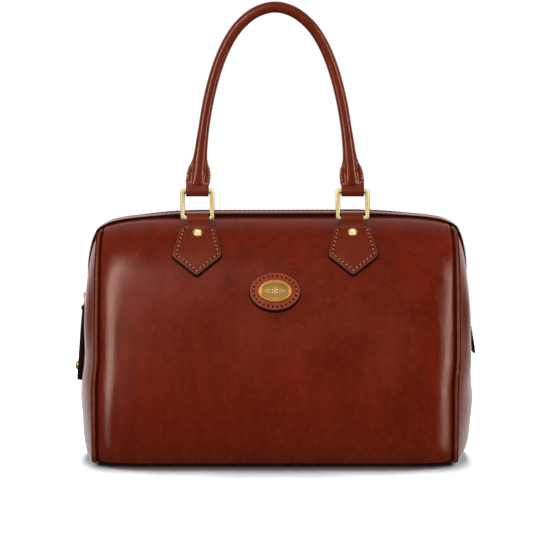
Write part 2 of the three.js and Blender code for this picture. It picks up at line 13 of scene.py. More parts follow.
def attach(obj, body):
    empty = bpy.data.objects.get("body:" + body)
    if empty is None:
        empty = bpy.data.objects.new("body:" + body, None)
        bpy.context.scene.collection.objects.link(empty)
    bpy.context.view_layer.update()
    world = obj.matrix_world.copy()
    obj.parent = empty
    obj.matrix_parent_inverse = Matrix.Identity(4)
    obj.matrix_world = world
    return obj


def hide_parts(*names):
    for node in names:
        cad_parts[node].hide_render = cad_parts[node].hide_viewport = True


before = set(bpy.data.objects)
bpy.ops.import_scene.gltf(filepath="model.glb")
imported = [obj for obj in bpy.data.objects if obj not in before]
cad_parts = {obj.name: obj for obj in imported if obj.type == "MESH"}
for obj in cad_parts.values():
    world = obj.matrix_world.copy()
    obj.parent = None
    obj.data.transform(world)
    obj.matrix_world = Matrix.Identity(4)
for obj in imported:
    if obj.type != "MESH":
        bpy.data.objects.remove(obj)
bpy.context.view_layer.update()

MM = 0.001
RIGHT, BACKWARD, UP = np.eye(3)
TO_BACK = np.array([1, -1, 1])  # mirrors the front of the bag to its back
ENDS = {"left": -1, "right": 1}

# Sizes that the body shares with its solids

LEATHER = 2.0
GAP = 0.3  # between pieces that lie on each other
SEAM_X = 145.0
END_ROUNDING = 11
END_FALL = 7
PANEL_SETBACK = 0.9
CORNER_LIFT = 3.2  # how far the lower corners rise off the floor
CORNER_ROUNDING = 35
CORNER_ROWS = (0, 0.12)
GUSSET_ROUNDING = 3
GUSSET_SETBACK_X = 0.9
GUSSET_SETBACK_Y = 3.8
FLANK = ((0.42, 0.62), (0.62, 1))  # where an end's flanks swell and fall, from its middle to its seams
RIGHT_SWELL = 2.4
RIGHT_SWELL_ROWS = ((0.02, 0.15), (0.35, 0.5))
SLUMP_SHIFT = 1.8
SLUMP_TILT = 1.2
SLUMP_HEIGHTS = (60, 90)

# Rows of the body from the base seam up to the zip
BODY_COLUMNS = ("mid_depth", "mid_height", "seam_depth", "seam_height", "seam_x", "end_x", "flank")
BODY_ROWS = np.array([
    (70, 2.6, 59.5, 2.4, 145, 152.3, 0),
    (74, 11, 62.2, 10, 145, 155.8, 0),
    (75, 30, 63, 28, 145, 158.3, 0),
    (74.5, 60, 62.5, 57, 145, 159.8, 0.5),
    (70.5, 95, 59.5, 90, 145, 156, 3),
    (63.5, 130, 54.5, 123, 145, 152.6, 6),
    (55.5, 155, 48.5, 148.5, 145, 154.2, 2),
    (46.5, 173, 41.5, 166.5, 144.8, 153.3, 0.5),
    (36, 186.8, 32.5, 180.4, 144.3, 150, 0),
    (25, 195, 23.5, 188.6, 143.3, 145.6, 0),
    (13.4, 199.2, 13.4, 192.2, 142, 142.9, 0),
], float)


# Small mathematics

def smoothstep(value, low, high):
    share = np.clip((np.asarray(value, float) - low) / (high - low), 0, 1)
    return share * share * (3 - 2 * share)


def hump(value, rise, fall):
    """Goes up from 0 to 1 over one range of values, and down again over another."""
    return smoothstep(value, *rise) * (1 - smoothstep(value, *fall))


def mix(low, high, share):
    return low + (high - low) * share


def unit(vectors):
    return vectors / np.maximum(np.linalg.norm(vectors, axis=-1, keepdims=True), 1e-12)


def spread(*values):
    return np.broadcast_arrays(*(np.asarray(value, float) for value in values))


def circle(count):
    """The cosine and sine of evenly spaced angles all round."""
    angles = np.linspace(0, 2 * math.pi, count, endpoint=False)
    return np.stack([np.cos(angles), np.sin(angles)], axis=-1)


def cubic(p0, p1, v0, v1, w):
    """Points between p0 and p1, which are left and reached with the velocities v0 and v1."""
    return p0 + v0 * w + (3 * (p1 - p0) - 2 * v0 - v1) * w**2 + (2 * (p0 - p1) + v0 + v1) * w**3


def spline(rows, places):
    """Values on a uniform spline through rows, at places from 0 to 1."""
    last = len(rows) - 1
    position = np.clip(np.asarray(places, float), 0, 1) * last
    start = np.minimum(position.astype(int), last - 1)
    p0, p1, p2, p3 = (rows[np.clip(start + step, 0, last)] for step in (-1, 0, 1, 2))
    return cubic(p1, p2, (p2 - p0) / 2, (p3 - p1) / 2, (position - start)[..., None])


def arc_lengths(points):
    return np.concatenate([[0], np.cumsum(np.linalg.norm(np.diff(points, axis=0), axis=1))])


def along(points, distances):
    """Points of a broken line at the given distances from its start."""
    lengths = arc_lengths(points)
    return np.stack([np.interp(distances, lengths, column) for column in points.T], axis=-1)


def smooth_line(points, count):
    """Evenly spaced points on a smooth line through the given ones, which may be spaced unevenly."""
    points = np.asarray(points, float)
    padded = np.vstack([2 * points[0] - points[1], points, 2 * points[-1] - points[-2]])
    w = np.linspace(0, 1, 40, endpoint=False)[:, None]
    pieces = []
    for p0, p1, p2, p3 in zip(padded, padded[1:], padded[2:], padded[3:]):
        k0, k1, k2 = (math.sqrt(np.linalg.norm(b - a)) for a, b in ((p0, p1), (p1, p2), (p2, p3)))
        v1 = k1 * ((p1 - p0) / k0 - (p2 - p0) / (k0 + k1) + (p2 - p1) / k1)
        v2 = k1 * ((p2 - p1) / k1 - (p3 - p1) / (k1 + k2) + (p3 - p2) / k2)
        pieces.append(cubic(p1, p2, v1, v2, w))
    fine = np.vstack([*pieces, points[-1:]])
    return along(fine, np.linspace(0, arc_lengths(fine)[-1], count))


def line_frame(line, distance, step):
    """Points at distances along a line in the XZ plane, with its headings and normals there."""
    distance = np.asarray(distance, float)
    ahead = along(line, np.minimum(distance + step, arc_lengths(line)[-1]))
    behind = along(line, np.maximum(distance - step, 0))
    heading = unit(ahead - behind)
    return along(line, distance), heading, unit(np.cross(heading, BACKWARD))


WAVES = 9


def wave_noise(x, z, size, seed):
    """Smooth low waves over a plane, the same on each run."""
    draw = np.random.default_rng(seed)
    total = np.zeros(np.broadcast(x, z).shape)
    for _ in range(WAVES):
        heading, phase = draw.uniform(0, 2 * math.pi, 2)
        pitch = size * draw.uniform(0.6, 1.6)
        total += np.sin((x * math.cos(heading) + z * math.sin(heading)) * 2 * math.pi / pitch + phase)
    return 2 * total / WAVES


# The body's outer surface

def body(t, column):
    return spline(BODY_ROWS, t)[..., BODY_COLUMNS.index(column)]


def slump(points):
    """The filled bag leans a little to its left: its upper corners shift along X and tilt."""
    x, z = points[..., 0], points[..., 2]
    share = np.minimum(1, np.abs(x) / SEAM_X)
    upper = smoothstep(z, *SLUMP_HEIGHTS)
    moved = points.copy()
    moved[..., 2] += np.sign(x) * SLUMP_TILT * share**2 * upper
    moved[..., 0] += SLUMP_SHIFT * share**4 * upper
    return moved


def panel_point(s, t):
    """s runs from the left end seam to the right one, and t from the base seam to the zip."""
    s, t = spread(s, t)
    reach = np.minimum(1, np.abs(s))
    depth = mix(body(t, "mid_depth"), body(t, "seam_depth"), reach**END_ROUNDING)
    height = mix(body(t, "mid_height"), body(t, "seam_height"), reach**END_FALL)
    height = height + CORNER_LIFT * reach**CORNER_ROUNDING * (1 - smoothstep(t, *CORNER_ROWS))
    return slump(np.stack([s * (body(t, "seam_x") - PANEL_SETBACK), -depth, height], axis=-1))


def gusset_point(side, u, t):
    """u runs from the front seam to the back one; side is -1 for the left end and 1 for the right."""
    u, t = spread(u, t)
    edge = body(t, "seam_x") + GUSSET_SETBACK_X
    x = edge + (body(t, "end_x") - edge) * (1 - np.abs(u) ** GUSSET_ROUNDING)
    x = x + body(t, "flank") * hump(np.abs(u), *FLANK)
    if side > 0:
        x = x + RIGHT_SWELL * (1 - u * u) * hump(t, *RIGHT_SWELL_ROWS)
    y = u * (body(t, "seam_depth") - GUSSET_SETBACK_Y)
    return slump(np.stack([side * x, y, body(t, "seam_height")], axis=-1))


def surface_normal(surface, u, v):
    """The unit normal, u cross v, of a surface with two parameters."""
    step = 1e-3
    along_u = surface(u + step, v) - surface(u - step, v)
    along_v = surface(u, np.minimum(v + step, 1)) - surface(u, np.maximum(v - step, 0))
    return unit(np.cross(along_u, along_v))


def row_at_height(height):
    rows = np.linspace(0, 1, 401)
    return rows[np.argmax(body(rows, "seam_height") >= height)]


MID_ROWS = np.linspace(0, 1, 2001)
MID_RISE = arc_lengths(np.stack([body(MID_ROWS, "mid_depth"), body(MID_ROWS, "mid_height")], axis=-1))


def above_panel(x, rise, lift):
    """Points above the front panel, and its normals: rise is the distance along it from the base seam."""
    x, rise, lift = spread(x, rise, lift)
    t = np.interp(rise, MID_RISE, MID_ROWS)
    s = x / (SEAM_X - PANEL_SETBACK)
    normal = surface_normal(panel_point, s, t)
    return panel_point(s, t) + normal * lift[..., None], normal


def on_panel(x, rise, lift):
    """A function that sets (across, along) or (across, along, height) points on the front panel."""
    def surface(points):
        height = points[:, 2] if points.shape[1] > 2 else 0.0
        return above_panel(x + points[:, 0], rise + points[:, 1], GAP + lift + height)
    return surface


def points_on(surface):
    """The same function without the normals."""
    return lambda points: surface(points)[0]


# Meshes

class Shape:
    """Points and faces that are gathered for one piece, each face with the name of its finish."""

    def __init__(self):
        self.points = np.zeros((0, 3))
        self.faces = []
        self.finishes = []

    def add(self, points, faces, finish):
        """finish is one name for all the faces, or one for each."""
        first = len(self.points)
        self.points = np.vstack([self.points, np.reshape(points, (-1, 3))])
        self.faces += [tuple(int(i) + first for i in face) for face in faces]
        self.finishes += [finish] * len(faces) if isinstance(finish, str) else list(finish)
        return self

    def join(self, other):
        return self.add(other.points, other.faces, other.finishes)

    def moved(self, place):
        """The same shape with each point sent through a function."""
        return Shape().add(place(self.points), self.faces, self.finishes)

    def turned_back(self):
        """A front shape mirrored to the back, with its faces turned out again."""
        return Shape().add(self.points * TO_BACK, [face[::-1] for face in self.faces], self.finishes)


LIT_ALONE = {"brass": [], "handles": []}  # pieces with lights of their own


def mesh_object(name, shape, slot, replaced, body_name="bag", back=False, sharp=40):
    """Makes a piece of a shape, with the materials that its finishes name, and lets it ride on a body."""
    if back:
        shape = shape.turned_back()
    mesh = bpy.data.meshes.new(name)
    mesh.from_pydata(shape.points * MM, [], shape.faces)
    names = list(dict.fromkeys(shape.finishes))
    for finish in names:
        mesh.materials.append(MATERIALS[finish])
    mesh.polygons.foreach_set("material_index", [names.index(finish) for finish in shape.finishes])
    mesh.shade_smooth()
    mesh.set_sharp_from_angle(angle=math.radians(sharp))
    mesh.update()
    piece = bpy.data.objects.new(name, mesh)
    bpy.context.scene.collection.objects.link(piece)
    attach(piece, body_name)
    if slot == "brass":
        LIT_ALONE["brass"].append(piece)
    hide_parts(*replaced)
    return piece


def grid_faces(rows, columns, closed=False):
    """Faces of a grid of points, row by row. A closed one joins its last column to its first."""
    faces = []
    for row in range(rows - 1):
        for column in range(columns if closed else columns - 1):
            a = row * columns + column
            b = row * columns + (column + 1) % columns
            faces.append((a, b, b + columns, a + columns))
    return faces


def outward(points, faces):
    """The faces of a closed solid, turned over if they look inward."""
    volume = 0.0
    for first, *others in faces:
        for second, third in zip(others, others[1:]):
            volume += np.dot(points[first], np.cross(points[second], points[third]))
    return faces if volume >= 0 else [face[::-1] for face in faces]


def loft(rings, finish, turned=False):
    """A solid through rings of equally many points, capped or turned all round.

    finish is one name for all its sides, or one for each.
    """
    rings = np.asarray(rings, float)
    count, sides = rings.shape[:2]
    side_finishes = [finish] * sides if isinstance(finish, str) else list(finish)
    faces = grid_faces(count, sides, closed=True)
    last = (count - 1) * sides
    if turned:
        for side in range(sides):
            other = (side + 1) % sides
            faces.append((last + side, last + other, other, side))
        finishes = side_finishes * count
    else:
        faces += [tuple(range(sides - 1, -1, -1)), tuple(range(last, last + sides))]
        finishes = side_finishes * (count - 1) + side_finishes[:1] * 2
    points = rings.reshape(-1, 3)
    return Shape().add(points, outward(points, faces), finishes)


TUBE_GUIDE = np.array([0.31, 0.83, 0.47])


def tube(points, radii, sides, finish):
    """A round tube along a line, with a radius for each point."""
    ahead = unit(np.gradient(points, axis=0))
    first = unit(np.cross(ahead, TUBE_GUIDE))
    second = np.cross(ahead, first)
    around = circle(sides)
    offsets = first[:, None] * around[:, :1] + second[:, None] * around[:, 1:]
    return loft(points[:, None] + offsets * radii[:, None, None], finish)


def lathe(profile, sides, finish):
    """A solid turned about Z through a profile of (radius, height) that starts and ends on the axis."""
    profile = np.asarray(profile, float)
    middle = profile[1:-1]
    cosine, sine = circle(sides).T
    heights = np.repeat(middle[:, 1:], sides, axis=1)
    rings = np.stack([middle[:, :1] * cosine, middle[:, :1] * sine, heights], axis=-1)
    faces = grid_faces(len(middle), sides, closed=True)
    last = (len(middle) - 1) * sides
    low, high = last + sides, last + sides + 1
    for side in range(sides):
        other = (side + 1) % sides
        faces += [(low, other, side), (high, last + side, last + other)]
    points = np.vstack([rings.reshape(-1, 3), (0, 0, profile[0, 1]), (0, 0, profile[-1, 1])])
    return Shape().add(points, outward(points, faces), finish)


def strap_section(half, thickness, rounding):
    """A flat strap's section as (across, up), with its upper side at height 0."""
    inner = half - rounding
    corner = np.radians((90, 60, 30, 0))
    right = [(inner + rounding * math.cos(a), rounding * (math.sin(a) - 1)) for a in corner]
    low = [(x, -thickness - y) for x, y in reversed(right)]
    flat = np.linspace(inner, -inner, 9)[1:-1]
    bottom = [(x, -thickness) for x in flat]
    left = [(-x, y) for x, y in reversed(right + low)]
    return np.array(right + low + bottom + left + [(x, 0.0) for x in flat[::-1]])


def strap_finishes(section, leather):
    """Leather on a strap's two faces and a dark cut edge on its sides."""
    across = np.abs(section[:, 0])
    outermost = np.minimum(across, np.roll(across, -1))
    return ["cut_edge" if edge > across.max() - 0.3 else leather for edge in outermost]


# Materials

GLOSS_TINT = (1.0, 0.76, 0.62, 1.0)


def colour(red, green, blue):
    """A screen colour from 0 to 255, as the linear values that a shader takes."""
    channels = [c / 255 for c in (red, green, blue)]
    return tuple(c / 12.92 if c <= 0.04045 else ((c + 0.055) / 1.055) ** 2.4 for c in channels) + (1.0,)


class Nodes:
    """Short ways to add nodes to the tree of a material or of the world."""

    def __init__(self, owner, coordinates="Object"):
        owner.use_nodes = True
        self.owner = owner
        self.tree = owner.node_tree
        self.place = self.add("TexCoord", coordinates, {})

    def plug(self, socket, value):
        """Gives a socket a number or a colour, or links another node's output to it."""
        if isinstance(value, (int, float, tuple)):
            socket.default_value = value
        else:
            self.tree.links.new(value, socket)

    def add(self, kind, output, sockets, **settings):
        """A new node's output. sockets are by name or number."""
        node = self.tree.nodes.new("ShaderNode" + kind)
        for name, value in settings.items():
            setattr(node, name, value)
        for socket, value in sockets.items():
            self.plug(node.inputs[socket], value)
        return node.outputs[output]

    def noise(self, scale, detail=4.0, roughness=0.55, stretch=(1, 1, 1), distortion=0.0):
        """Noise over the piece: scale counts its waves in a metre."""
        place = self.add("Mapping", "Vector", {"Vector": self.place, "Scale": stretch})
        return self.add("TexNoise", "Fac", {
            "Vector": place, "Scale": scale, "Detail": detail, "Roughness": roughness,
            "Distortion": distortion,
        })

    def cells(self, scale):
        return self.add("TexVoronoi", "Distance", {"Vector": self.place, "Scale": scale})

    def waves(self, scale, direction):
        return self.add("TexWave", "Fac", {"Vector": self.place, "Scale": scale}, bands_direction=direction)

    def part(self, axis):
        return self.add("SeparateXYZ", axis, {"Vector": self.place})

    def remap(self, value, low, high, to_low=0, to_high=1, smooth=False):
        return self.add("MapRange", "Result", {
            "Value": value, "From Min": low, "From Max": high, "To Min": to_low, "To Max": to_high,
        }, interpolation_type="SMOOTHSTEP" if smooth else "LINEAR")

    def calculate(self, operation, first, second):
        return self.add("Math", "Value", {0: first, 1: second}, operation=operation)

    def blend(self, share, first, second):
        """A colour between two, each a colour or another node's output."""
        return self.add("Mix", 2, {"Factor": share, 6: first, 7: second}, data_type="RGBA")

    def bump(self, value, strength, distance, below=None):
        sockets = {"Height": value, "Strength": strength, "Distance": distance * MM}
        if below is not None:
            sockets["Normal"] = below
        return self.add("Bump", "Normal", sockets)

    def set(self, **values):
        """Sets sockets of the material's shader, by their names with _ for each space."""
        shader = self.tree.nodes["Principled BSDF"]
        for name, value in values.items():
            self.plug(shader.inputs[name.replace("_", " ")], value)
        return self.owner


def new_nodes(name):
    return Nodes(bpy.data.materials.new(name))


def leather_material(name, base, deep, bright, roughness, grain, mottle_and_low_shade):
    """Smooth waxed leather: cloudy colour, faint upright streaks, pores and a grain that breaks the gloss,
    with painted shade that darkens it towards the bottom.
    """
    nodes = new_nodes(name)
    base, deep, bright = colour(*base), colour(*deep), colour(*bright)
    clouds = nodes.noise(19, detail=5, roughness=0.6, distortion=0.4)
    streaks = nodes.noise(9, detail=5, roughness=0.65, stretch=(9, 9, 1))
    lines = nodes.noise(26, detail=6, roughness=0.7, stretch=(6, 6, 0.9))
    mottle = nodes.noise(160, detail=4, roughness=0.7)
    fibres = nodes.noise(900, detail=3, roughness=0.6)
    cloudy = nodes.remap(clouds, 0.3, 0.7, 0, 0.5 * mottle_and_low_shade)
    tone = nodes.calculate("ADD", cloudy, nodes.remap(streaks, 0.3, 0.72, 0, 0.5))
    tinted = nodes.blend(nodes.remap(tone, 0.1, 0.85), deep, base)
    lined = nodes.blend(nodes.remap(lines, 0.5, 0.74, 0, 0.45 * mottle_and_low_shade), tinted, deep)
    # painted shade: the colour darkens towards the floor, where the lower front falls into shade;
    # mottle_and_low_shade also scales the random clouds and lines
    low = nodes.remap(nodes.part("Z"), 0.004, 0.075, 0.6 * mottle_and_low_shade, 0, smooth=True)
    shaded = nodes.blend(nodes.remap(mottle, 0.5, 0.8, 0, 0.6), nodes.blend(low, lined, deep), bright)
    pebble = nodes.noise(640, detail=3, roughness=0.6)
    pores = nodes.remap(nodes.cells(1500), 0, 0.5)
    creases = nodes.noise(70, detail=6, roughness=0.7, stretch=(3.2, 3.2, 0.8))
    surface = nodes.bump(pebble, 0.4 * grain, 0.36)
    surface = nodes.bump(pores, 0.2 * grain, 0.1, below=surface)
    surface = nodes.bump(creases, 0.15 * grain, 0.5, below=surface)
    dull = nodes.remap(nodes.calculate("ADD", clouds, fibres), 0.6, 1.4, roughness - 0.05, roughness + 0.09)
    return nodes.set(
        Base_Color=shaded, Roughness=dull, Normal=surface, Specular_IOR_Level=0.5, IOR=1.46,
        Specular_Tint=GLOSS_TINT,
    )


# Kinds of plain material: noise, the relief's strength and height, roughness, and what else the shader gets
PLAIN_KINDS = {
    "edge": (
        (420, 4, 0.7), (0.4, 0.15), (0.4, 0.6), {"Specular_IOR_Level": 0.1, "Specular_Tint": GLOSS_TINT},
    ),
    # crease: a dark dull colour that paints the shade in seam grooves, beside the piping, in needle holes and
    # under the base
    "crease": ((300, 3, 0.55), (0.3, 0.2), (0.75, 0.75), {"Specular_IOR_Level": 0.05}),
    "thread": ((1500, 3, 0.7), (0.5, 0.12), (0.6, 0.6), {"Sheen_Weight": 0.2}),
    "suede": ((800, 4, 0.7), (0.5, 0.3), (0.92, 0.92), {"Sheen_Weight": 0.3}),
}


def plain_material(name, light, dark, kind):
    """Burnished edge, painted shade in seams, holes and under the base, waxed thread or suede: flecks between
    two colours.
    """
    noise, relief, gloss, others = PLAIN_KINDS[kind]
    nodes = new_nodes(name)
    fleck = nodes.noise(*noise)
    tone = nodes.blend(nodes.remap(fleck, 0.3, 0.7), colour(*dark), colour(*light))
    dull = nodes.remap(fleck, 0.3, 0.7, *gloss)
    return nodes.set(Base_Color=tone, Roughness=dull, Normal=nodes.bump(fleck, *relief), **others)


def brass_material(name, light, dark, roughness, scratch):
    """Polished brass with fine scratches and a slight uneven tarnish."""
    nodes = new_nodes(name)
    tarnish = nodes.noise(70, detail=3, roughness=0.55)
    lines = nodes.noise(260, detail=3, roughness=0.6, stretch=(1, 9, 9))
    tone = nodes.blend(nodes.remap(tarnish, 0.35, 0.7), colour(*light), colour(*dark))
    gloss = nodes.remap(tarnish, 0.3, 0.7, roughness - 0.03, roughness + 0.06)
    scratches = nodes.bump(lines, 0.02 * scratch, 0.08)
    return nodes.set(Base_Color=tone, Metallic=1.0, Roughness=gloss, Normal=scratches)


def zip_cloth_material(name, light, dark):
    """Dark woven tape."""
    nodes = new_nodes(name)
    weave = nodes.calculate("MULTIPLY", nodes.waves(330, "X"), nodes.waves(330, "Y"))
    tone = nodes.blend(weave, colour(*dark), colour(*light))
    height = nodes.calculate("ADD", weave, nodes.noise(700, detail=3))
    return nodes.set(Base_Color=tone, Roughness=0.88, Normal=nodes.bump(height, 0.6, 0.25), Sheen_Weight=0.15)


# What each finish is made of, in the order of its maker's arguments
FINISHES = {
    leather_material: {
        "leather": ((115, 28, 4), (86, 17, 2), (130, 40, 13), 0.15, 1.2, 1.0),
        # the piping's cord: leather coloured lighter and more orange than the body, partly to paint the
        # highlight line along the cord
        "worn_piping": ((118, 44, 20), (100, 36, 16), (156, 86, 56), 0.36, 1.4, 0.4),
        "leather_trim": ((114, 36, 13), (99, 28, 9), (130, 47, 20), 0.3, 1.0, 0.4),
        "handle_leather": ((114, 36, 13), (99, 28, 9), (128, 45, 19), 0.2, 0.6, 0.4),
        "patch": ((148, 50, 20), (130, 40, 14), (164, 64, 30), 0.34, 1.4, 0.4),
    },
    plain_material: {
        # painted shade: the base takes a darker, duller colour than the body, for the shade under the bag
        "base_leather": ((58, 16, 7), (40, 10, 4), "crease"),
        # painted shade in the seams' grooves, beside the piping and on its flange
        "crease": ((78, 21, 8), (56, 13, 5), "crease"),
        # painted shade inside the needle holes
        "needle_hole": ((36, 12, 7), (22, 7, 5), "crease"),
        "cut_edge": ((40, 16, 10), (20, 8, 5), "edge"),
        "tan_thread": ((190, 118, 76), (136, 76, 46), "thread"),
        "brown_thread": ((150, 84, 60), (104, 52, 36), "thread"),
        # painted highlight: a thin pale band along the top of a cut edge's rounding
        "worn_rim": ((150, 92, 74), (112, 60, 44), "thread"),
        "flesh_side": ((104, 62, 42), (74, 38, 24), "suede"),
    },
    brass_material: {
        "brass": ((244, 220, 166), (234, 202, 138), 0.2, 0.3),
        "satin_brass": ((244, 216, 158), (232, 196, 128), 0.34, 0.3),
        "gilt": ((204, 156, 78), (186, 134, 56), 0.3, 1.0),
        "brass_field": ((164, 127, 66), (126, 91, 44), 0.4, 8),
    },
    zip_cloth_material: {
        "zip_cloth": ((52, 32, 24), (24, 13, 10)),
    },
}
MATERIALS = {}
for maker, recipes in FINISHES.items():
    for finish, recipe in recipes.items():
        MATERIALS[finish] = maker(finish, *recipe)


# Leather walls and stitches

def wall(points, normals, thickness, outer, edge="cut_edge", kept=None):
    """A leather wall below a grid of points, closed round its border.

    outer is one finish, or one for each column of cells. kept marks the grid's cells that exist.
    """
    rows, columns = points.shape[:2]
    count = rows * columns
    cells = grid_faces(rows, columns)
    outers = [outer] * len(cells) if isinstance(outer, str) else list(outer) * (rows - 1)
    if kept is not None:
        outers = [name for name, stays in zip(outers, kept.ravel()) if stays]
        cells = [cell for cell, stays in zip(cells, kept.ravel()) if stays]
    sides = {side: True for cell in cells for side in zip(cell, cell[1:] + cell[:1])}
    border = [(a, b) for a, b in sides if (b, a) not in sides]
    faces = cells + [tuple(i + count for i in cell[::-1]) for cell in cells]
    faces += [(b, a, a + count, b + count) for a, b in border]
    finishes = outers + ["flesh_side"] * len(cells) + [edge] * len(border)
    both = np.vstack([points.reshape(-1, 3), (points - normals * thickness).reshape(-1, 3)])
    used = np.unique(np.concatenate(faces))
    renumber = np.zeros(len(both), int)
    renumber[used] = np.arange(len(used))
    return Shape().add(both[used], [renumber[list(face)] for face in faces], finishes)


# Kinds of stitch: pitch, length, radius, slant in degrees, radius of the needle holes, thread
STITCH_KINDS = {
    "strip": (4.0, 3.0, 0.3, 8, 0.4, "brown_thread"),
    "tab": (3.75, 2.5, 0.5, 20, 0.64, "tan_thread"),
    "handle": (3.1, 2.8, 0.48, 24, 0.45, "tan_thread"),
    "handle_foot": (3.0, 2.6, 0.5, 30, 0.5, "tan_thread"),
    "pull": (3.4, 2.5, 0.3, 10, 0.36, "brown_thread"),
    "end_tab": (4.2, 2.7, 0.36, 10, 0.4, "tan_thread"),
    "badge": (3.65, 1.9, 0.26, 16, 0.82, "brown_thread"),
}
STITCH_PROFILE = np.array([
    # along, radius, height, as shares of the stitch's length, its radius and its radius
    (-0.50, 0.45, -0.7),
    (-0.40, 0.85, 0.1),
    (-0.15, 1.00, 0.5),
    (0.15, 1.00, 0.5),
    (0.40, 0.85, 0.1),
    (0.50, 0.45, -0.7),
])
STITCH_SIDES = 6
STITCH_AIM = 0.4  # how far on either side its heading is taken
HOLE_SIDES = 8
HOLE_GUIDE = np.array([0.3, 0.5, 0.81])
HOLE_DEPTH = 0.3
HOLE_RIM = 0.2


def stitches(places, headings, normals, length, radius, slant, finish):
    """Separate stitches, one at each place, each turned a little from its seam's heading."""
    turn = math.radians(slant)
    headings = headings * math.cos(turn) + np.cross(normals, headings) * math.sin(turn)
    shape = Shape()
    for place, heading, normal in zip(places, headings, normals):
        middle = place + np.outer(STITCH_PROFILE[:, 0] * length, heading)
        middle = middle + np.outer(STITCH_PROFILE[:, 2] * radius, normal)
        around = circle(STITCH_SIDES) @ np.stack([np.cross(normal, heading), normal])
        rings = middle[:, None] + around * (STITCH_PROFILE[:, 1] * radius)[:, None, None]
        shape.join(loft(rings, finish))
    return shape


def needle_holes(places, normals, radius):
    """Small pits where the thread goes in, just proud of the leather, coloured dark as painted shade inside
    the holes.
    """
    shape = Shape()
    for place, normal in zip(places, normals):
        side = unit(np.cross(normal, HOLE_GUIDE))
        rim = place + radius * circle(HOLE_SIDES) @ np.stack([side, np.cross(normal, side)])
        shape.join(loft([rim - normal * HOLE_DEPTH, rim + normal * HOLE_RIM], "needle_hole"))
    return shape


def stitch_seam(kind, line, surface, way=1):
    """Stitches and holes along a line of local points; surface gives their places and normals."""
    pitch, length, radius, slant, hole, thread = STITCH_KINDS[kind]
    total = arc_lengths(line)[-1]
    count = max(2, round(total / pitch))
    middles = (np.arange(count) + 0.5) * total / count
    places, normals = surface(along(line, middles))
    ahead, _ = surface(along(line, np.minimum(middles + STITCH_AIM, total)))
    behind, _ = surface(along(line, np.maximum(middles - STITCH_AIM, 0)))
    shape = stitches(places, unit(ahead - behind), normals, length, radius, way * slant, thread)
    holes, hole_normals = surface(along(line, np.arange(count + 1) * total / count))
    return shape.join(needle_holes(holes, hole_normals, hole))


# Panels, ends, base and piping

PANEL_COLUMNS = 150
PANEL_ROWS = 104
PANEL_SEEDS = {"front": 3, "back": 8}
# A panel's slight relief: its height, the size of its waves, and where it fades, from the seams and by rows
PANEL_WAVES = (
    (0.4, 85.0, (4, 30), ((0.02, 0.2), (0.8, 0.97))),
    (0.09, 26.0, (2, 9), ((0.01, 0.06), (0.9, 0.98))),
)
SEAM_TUCK = (1.3, 1.3)  # how far a panel's edge is pulled in at the piped seams, and how wide
BASE_TUCK = (0.8, 1.0)
# the tucked columns and the seam allowances are coloured in painted shade, the dark of the seam's groove
TUCKED_COLUMNS = 3  # columns of cells that lie in the seam's dark groove
ALLOWANCE_FOLD = ((0.9, 1.2, 0.7), (1.1, 5.0, 1.0))  # out to the side, into the bag, and the normal's lean


def tuck(from_seam, depth, width):
    """How far leather is pulled in near a seam."""
    return depth * np.exp(-((from_seam / width) ** 2))


def panel_grid(seed):
    """The front panel's outer points and normals, with its tucked seams and slight waves."""
    s = np.sin(np.linspace(-1, 1, PANEL_COLUMNS) * math.pi / 2)[None, :]
    t = np.linspace(0, 1, PANEL_ROWS)[:, None]
    points = panel_point(s, t)
    normals = surface_normal(panel_point, s, t)
    from_seam = (1 - np.abs(s)) * SEAM_X
    relief = -tuck(from_seam, *SEAM_TUCK) - tuck(t * MID_RISE[-1], *BASE_TUCK)
    for step, (height, size, margin, rows) in enumerate(PANEL_WAVES):
        waves = wave_noise(points[..., 0], points[..., 2], size, seed + step)
        relief = relief + height * smoothstep(from_seam, *margin) * hump(t, *rows) * waves
    return with_allowances(points + normals * relief[..., None], normals)


def with_allowances(points, normals):
    """A panel's grid with a narrow seam allowance on both sides, turned into the bag behind the piping."""
    left, right = [], []
    for sign, edge, folded in ((-1, 0, left), (1, -1, right)):
        for out, inward, lean in ALLOWANCE_FOLD:
            place = points[:, edge] + sign * out * RIGHT + inward * BACKWARD
            folded.append((place, unit(mix(normals[:, edge], sign * RIGHT, lean))))
    columns = left[::-1] + list(zip(points.swapaxes(0, 1), normals.swapaxes(0, 1))) + right
    return tuple(np.stack(part, axis=1) for part in zip(*columns))


def make_panels():
    # painted shade: the cells in and beside the seam's groove, and the panel's edges, take the dark crease
    # colour
    folded = ["crease"] * (len(ALLOWANCE_FOLD) + TUCKED_COLUMNS)
    finishes = folded + ["leather"] * (PANEL_COLUMNS - 1 - 2 * TUCKED_COLUMNS) + folded
    for face, seed in PANEL_SEEDS.items():
        shape = wall(*panel_grid(seed), LEATHER, finishes, edge="crease")
        mesh_object(face + "_panel_leather", shape, "leather", [face + "_panel"], back=face == "back")


ZIP_SLOT_HALF = 13.2
ZIP_SLOT_SHARE = 0.8  # of an end's width, at most
ZIP_SLOT_HEIGHT = 139.0
ZIP_FOOT_DIP = 0.7  # how far an end is pressed in below the zip
ZIP_FOOT_HEIGHTS = (116, 128)
ZIP_FOOT_WIDTH = 13
GUSSET_FOOT = 2.5
GUSSET_TOP_ROW = 0.91
GUSSET_ROWS = 90
SLOT_CELLS = 14
FLANK_CELLS = 22
FLANK_CROWDING = 1.6  # crowds the cells toward the seams
GUSSET_TUCK = (1.4, 1.5)
GUSSET_FOLDS = (0.55, 55)  # their height and size
GUSSET_FOLD_ROWS = (0.03, 0.2)
GUSSET_SEEDS = {"left": 21, "right": 34}


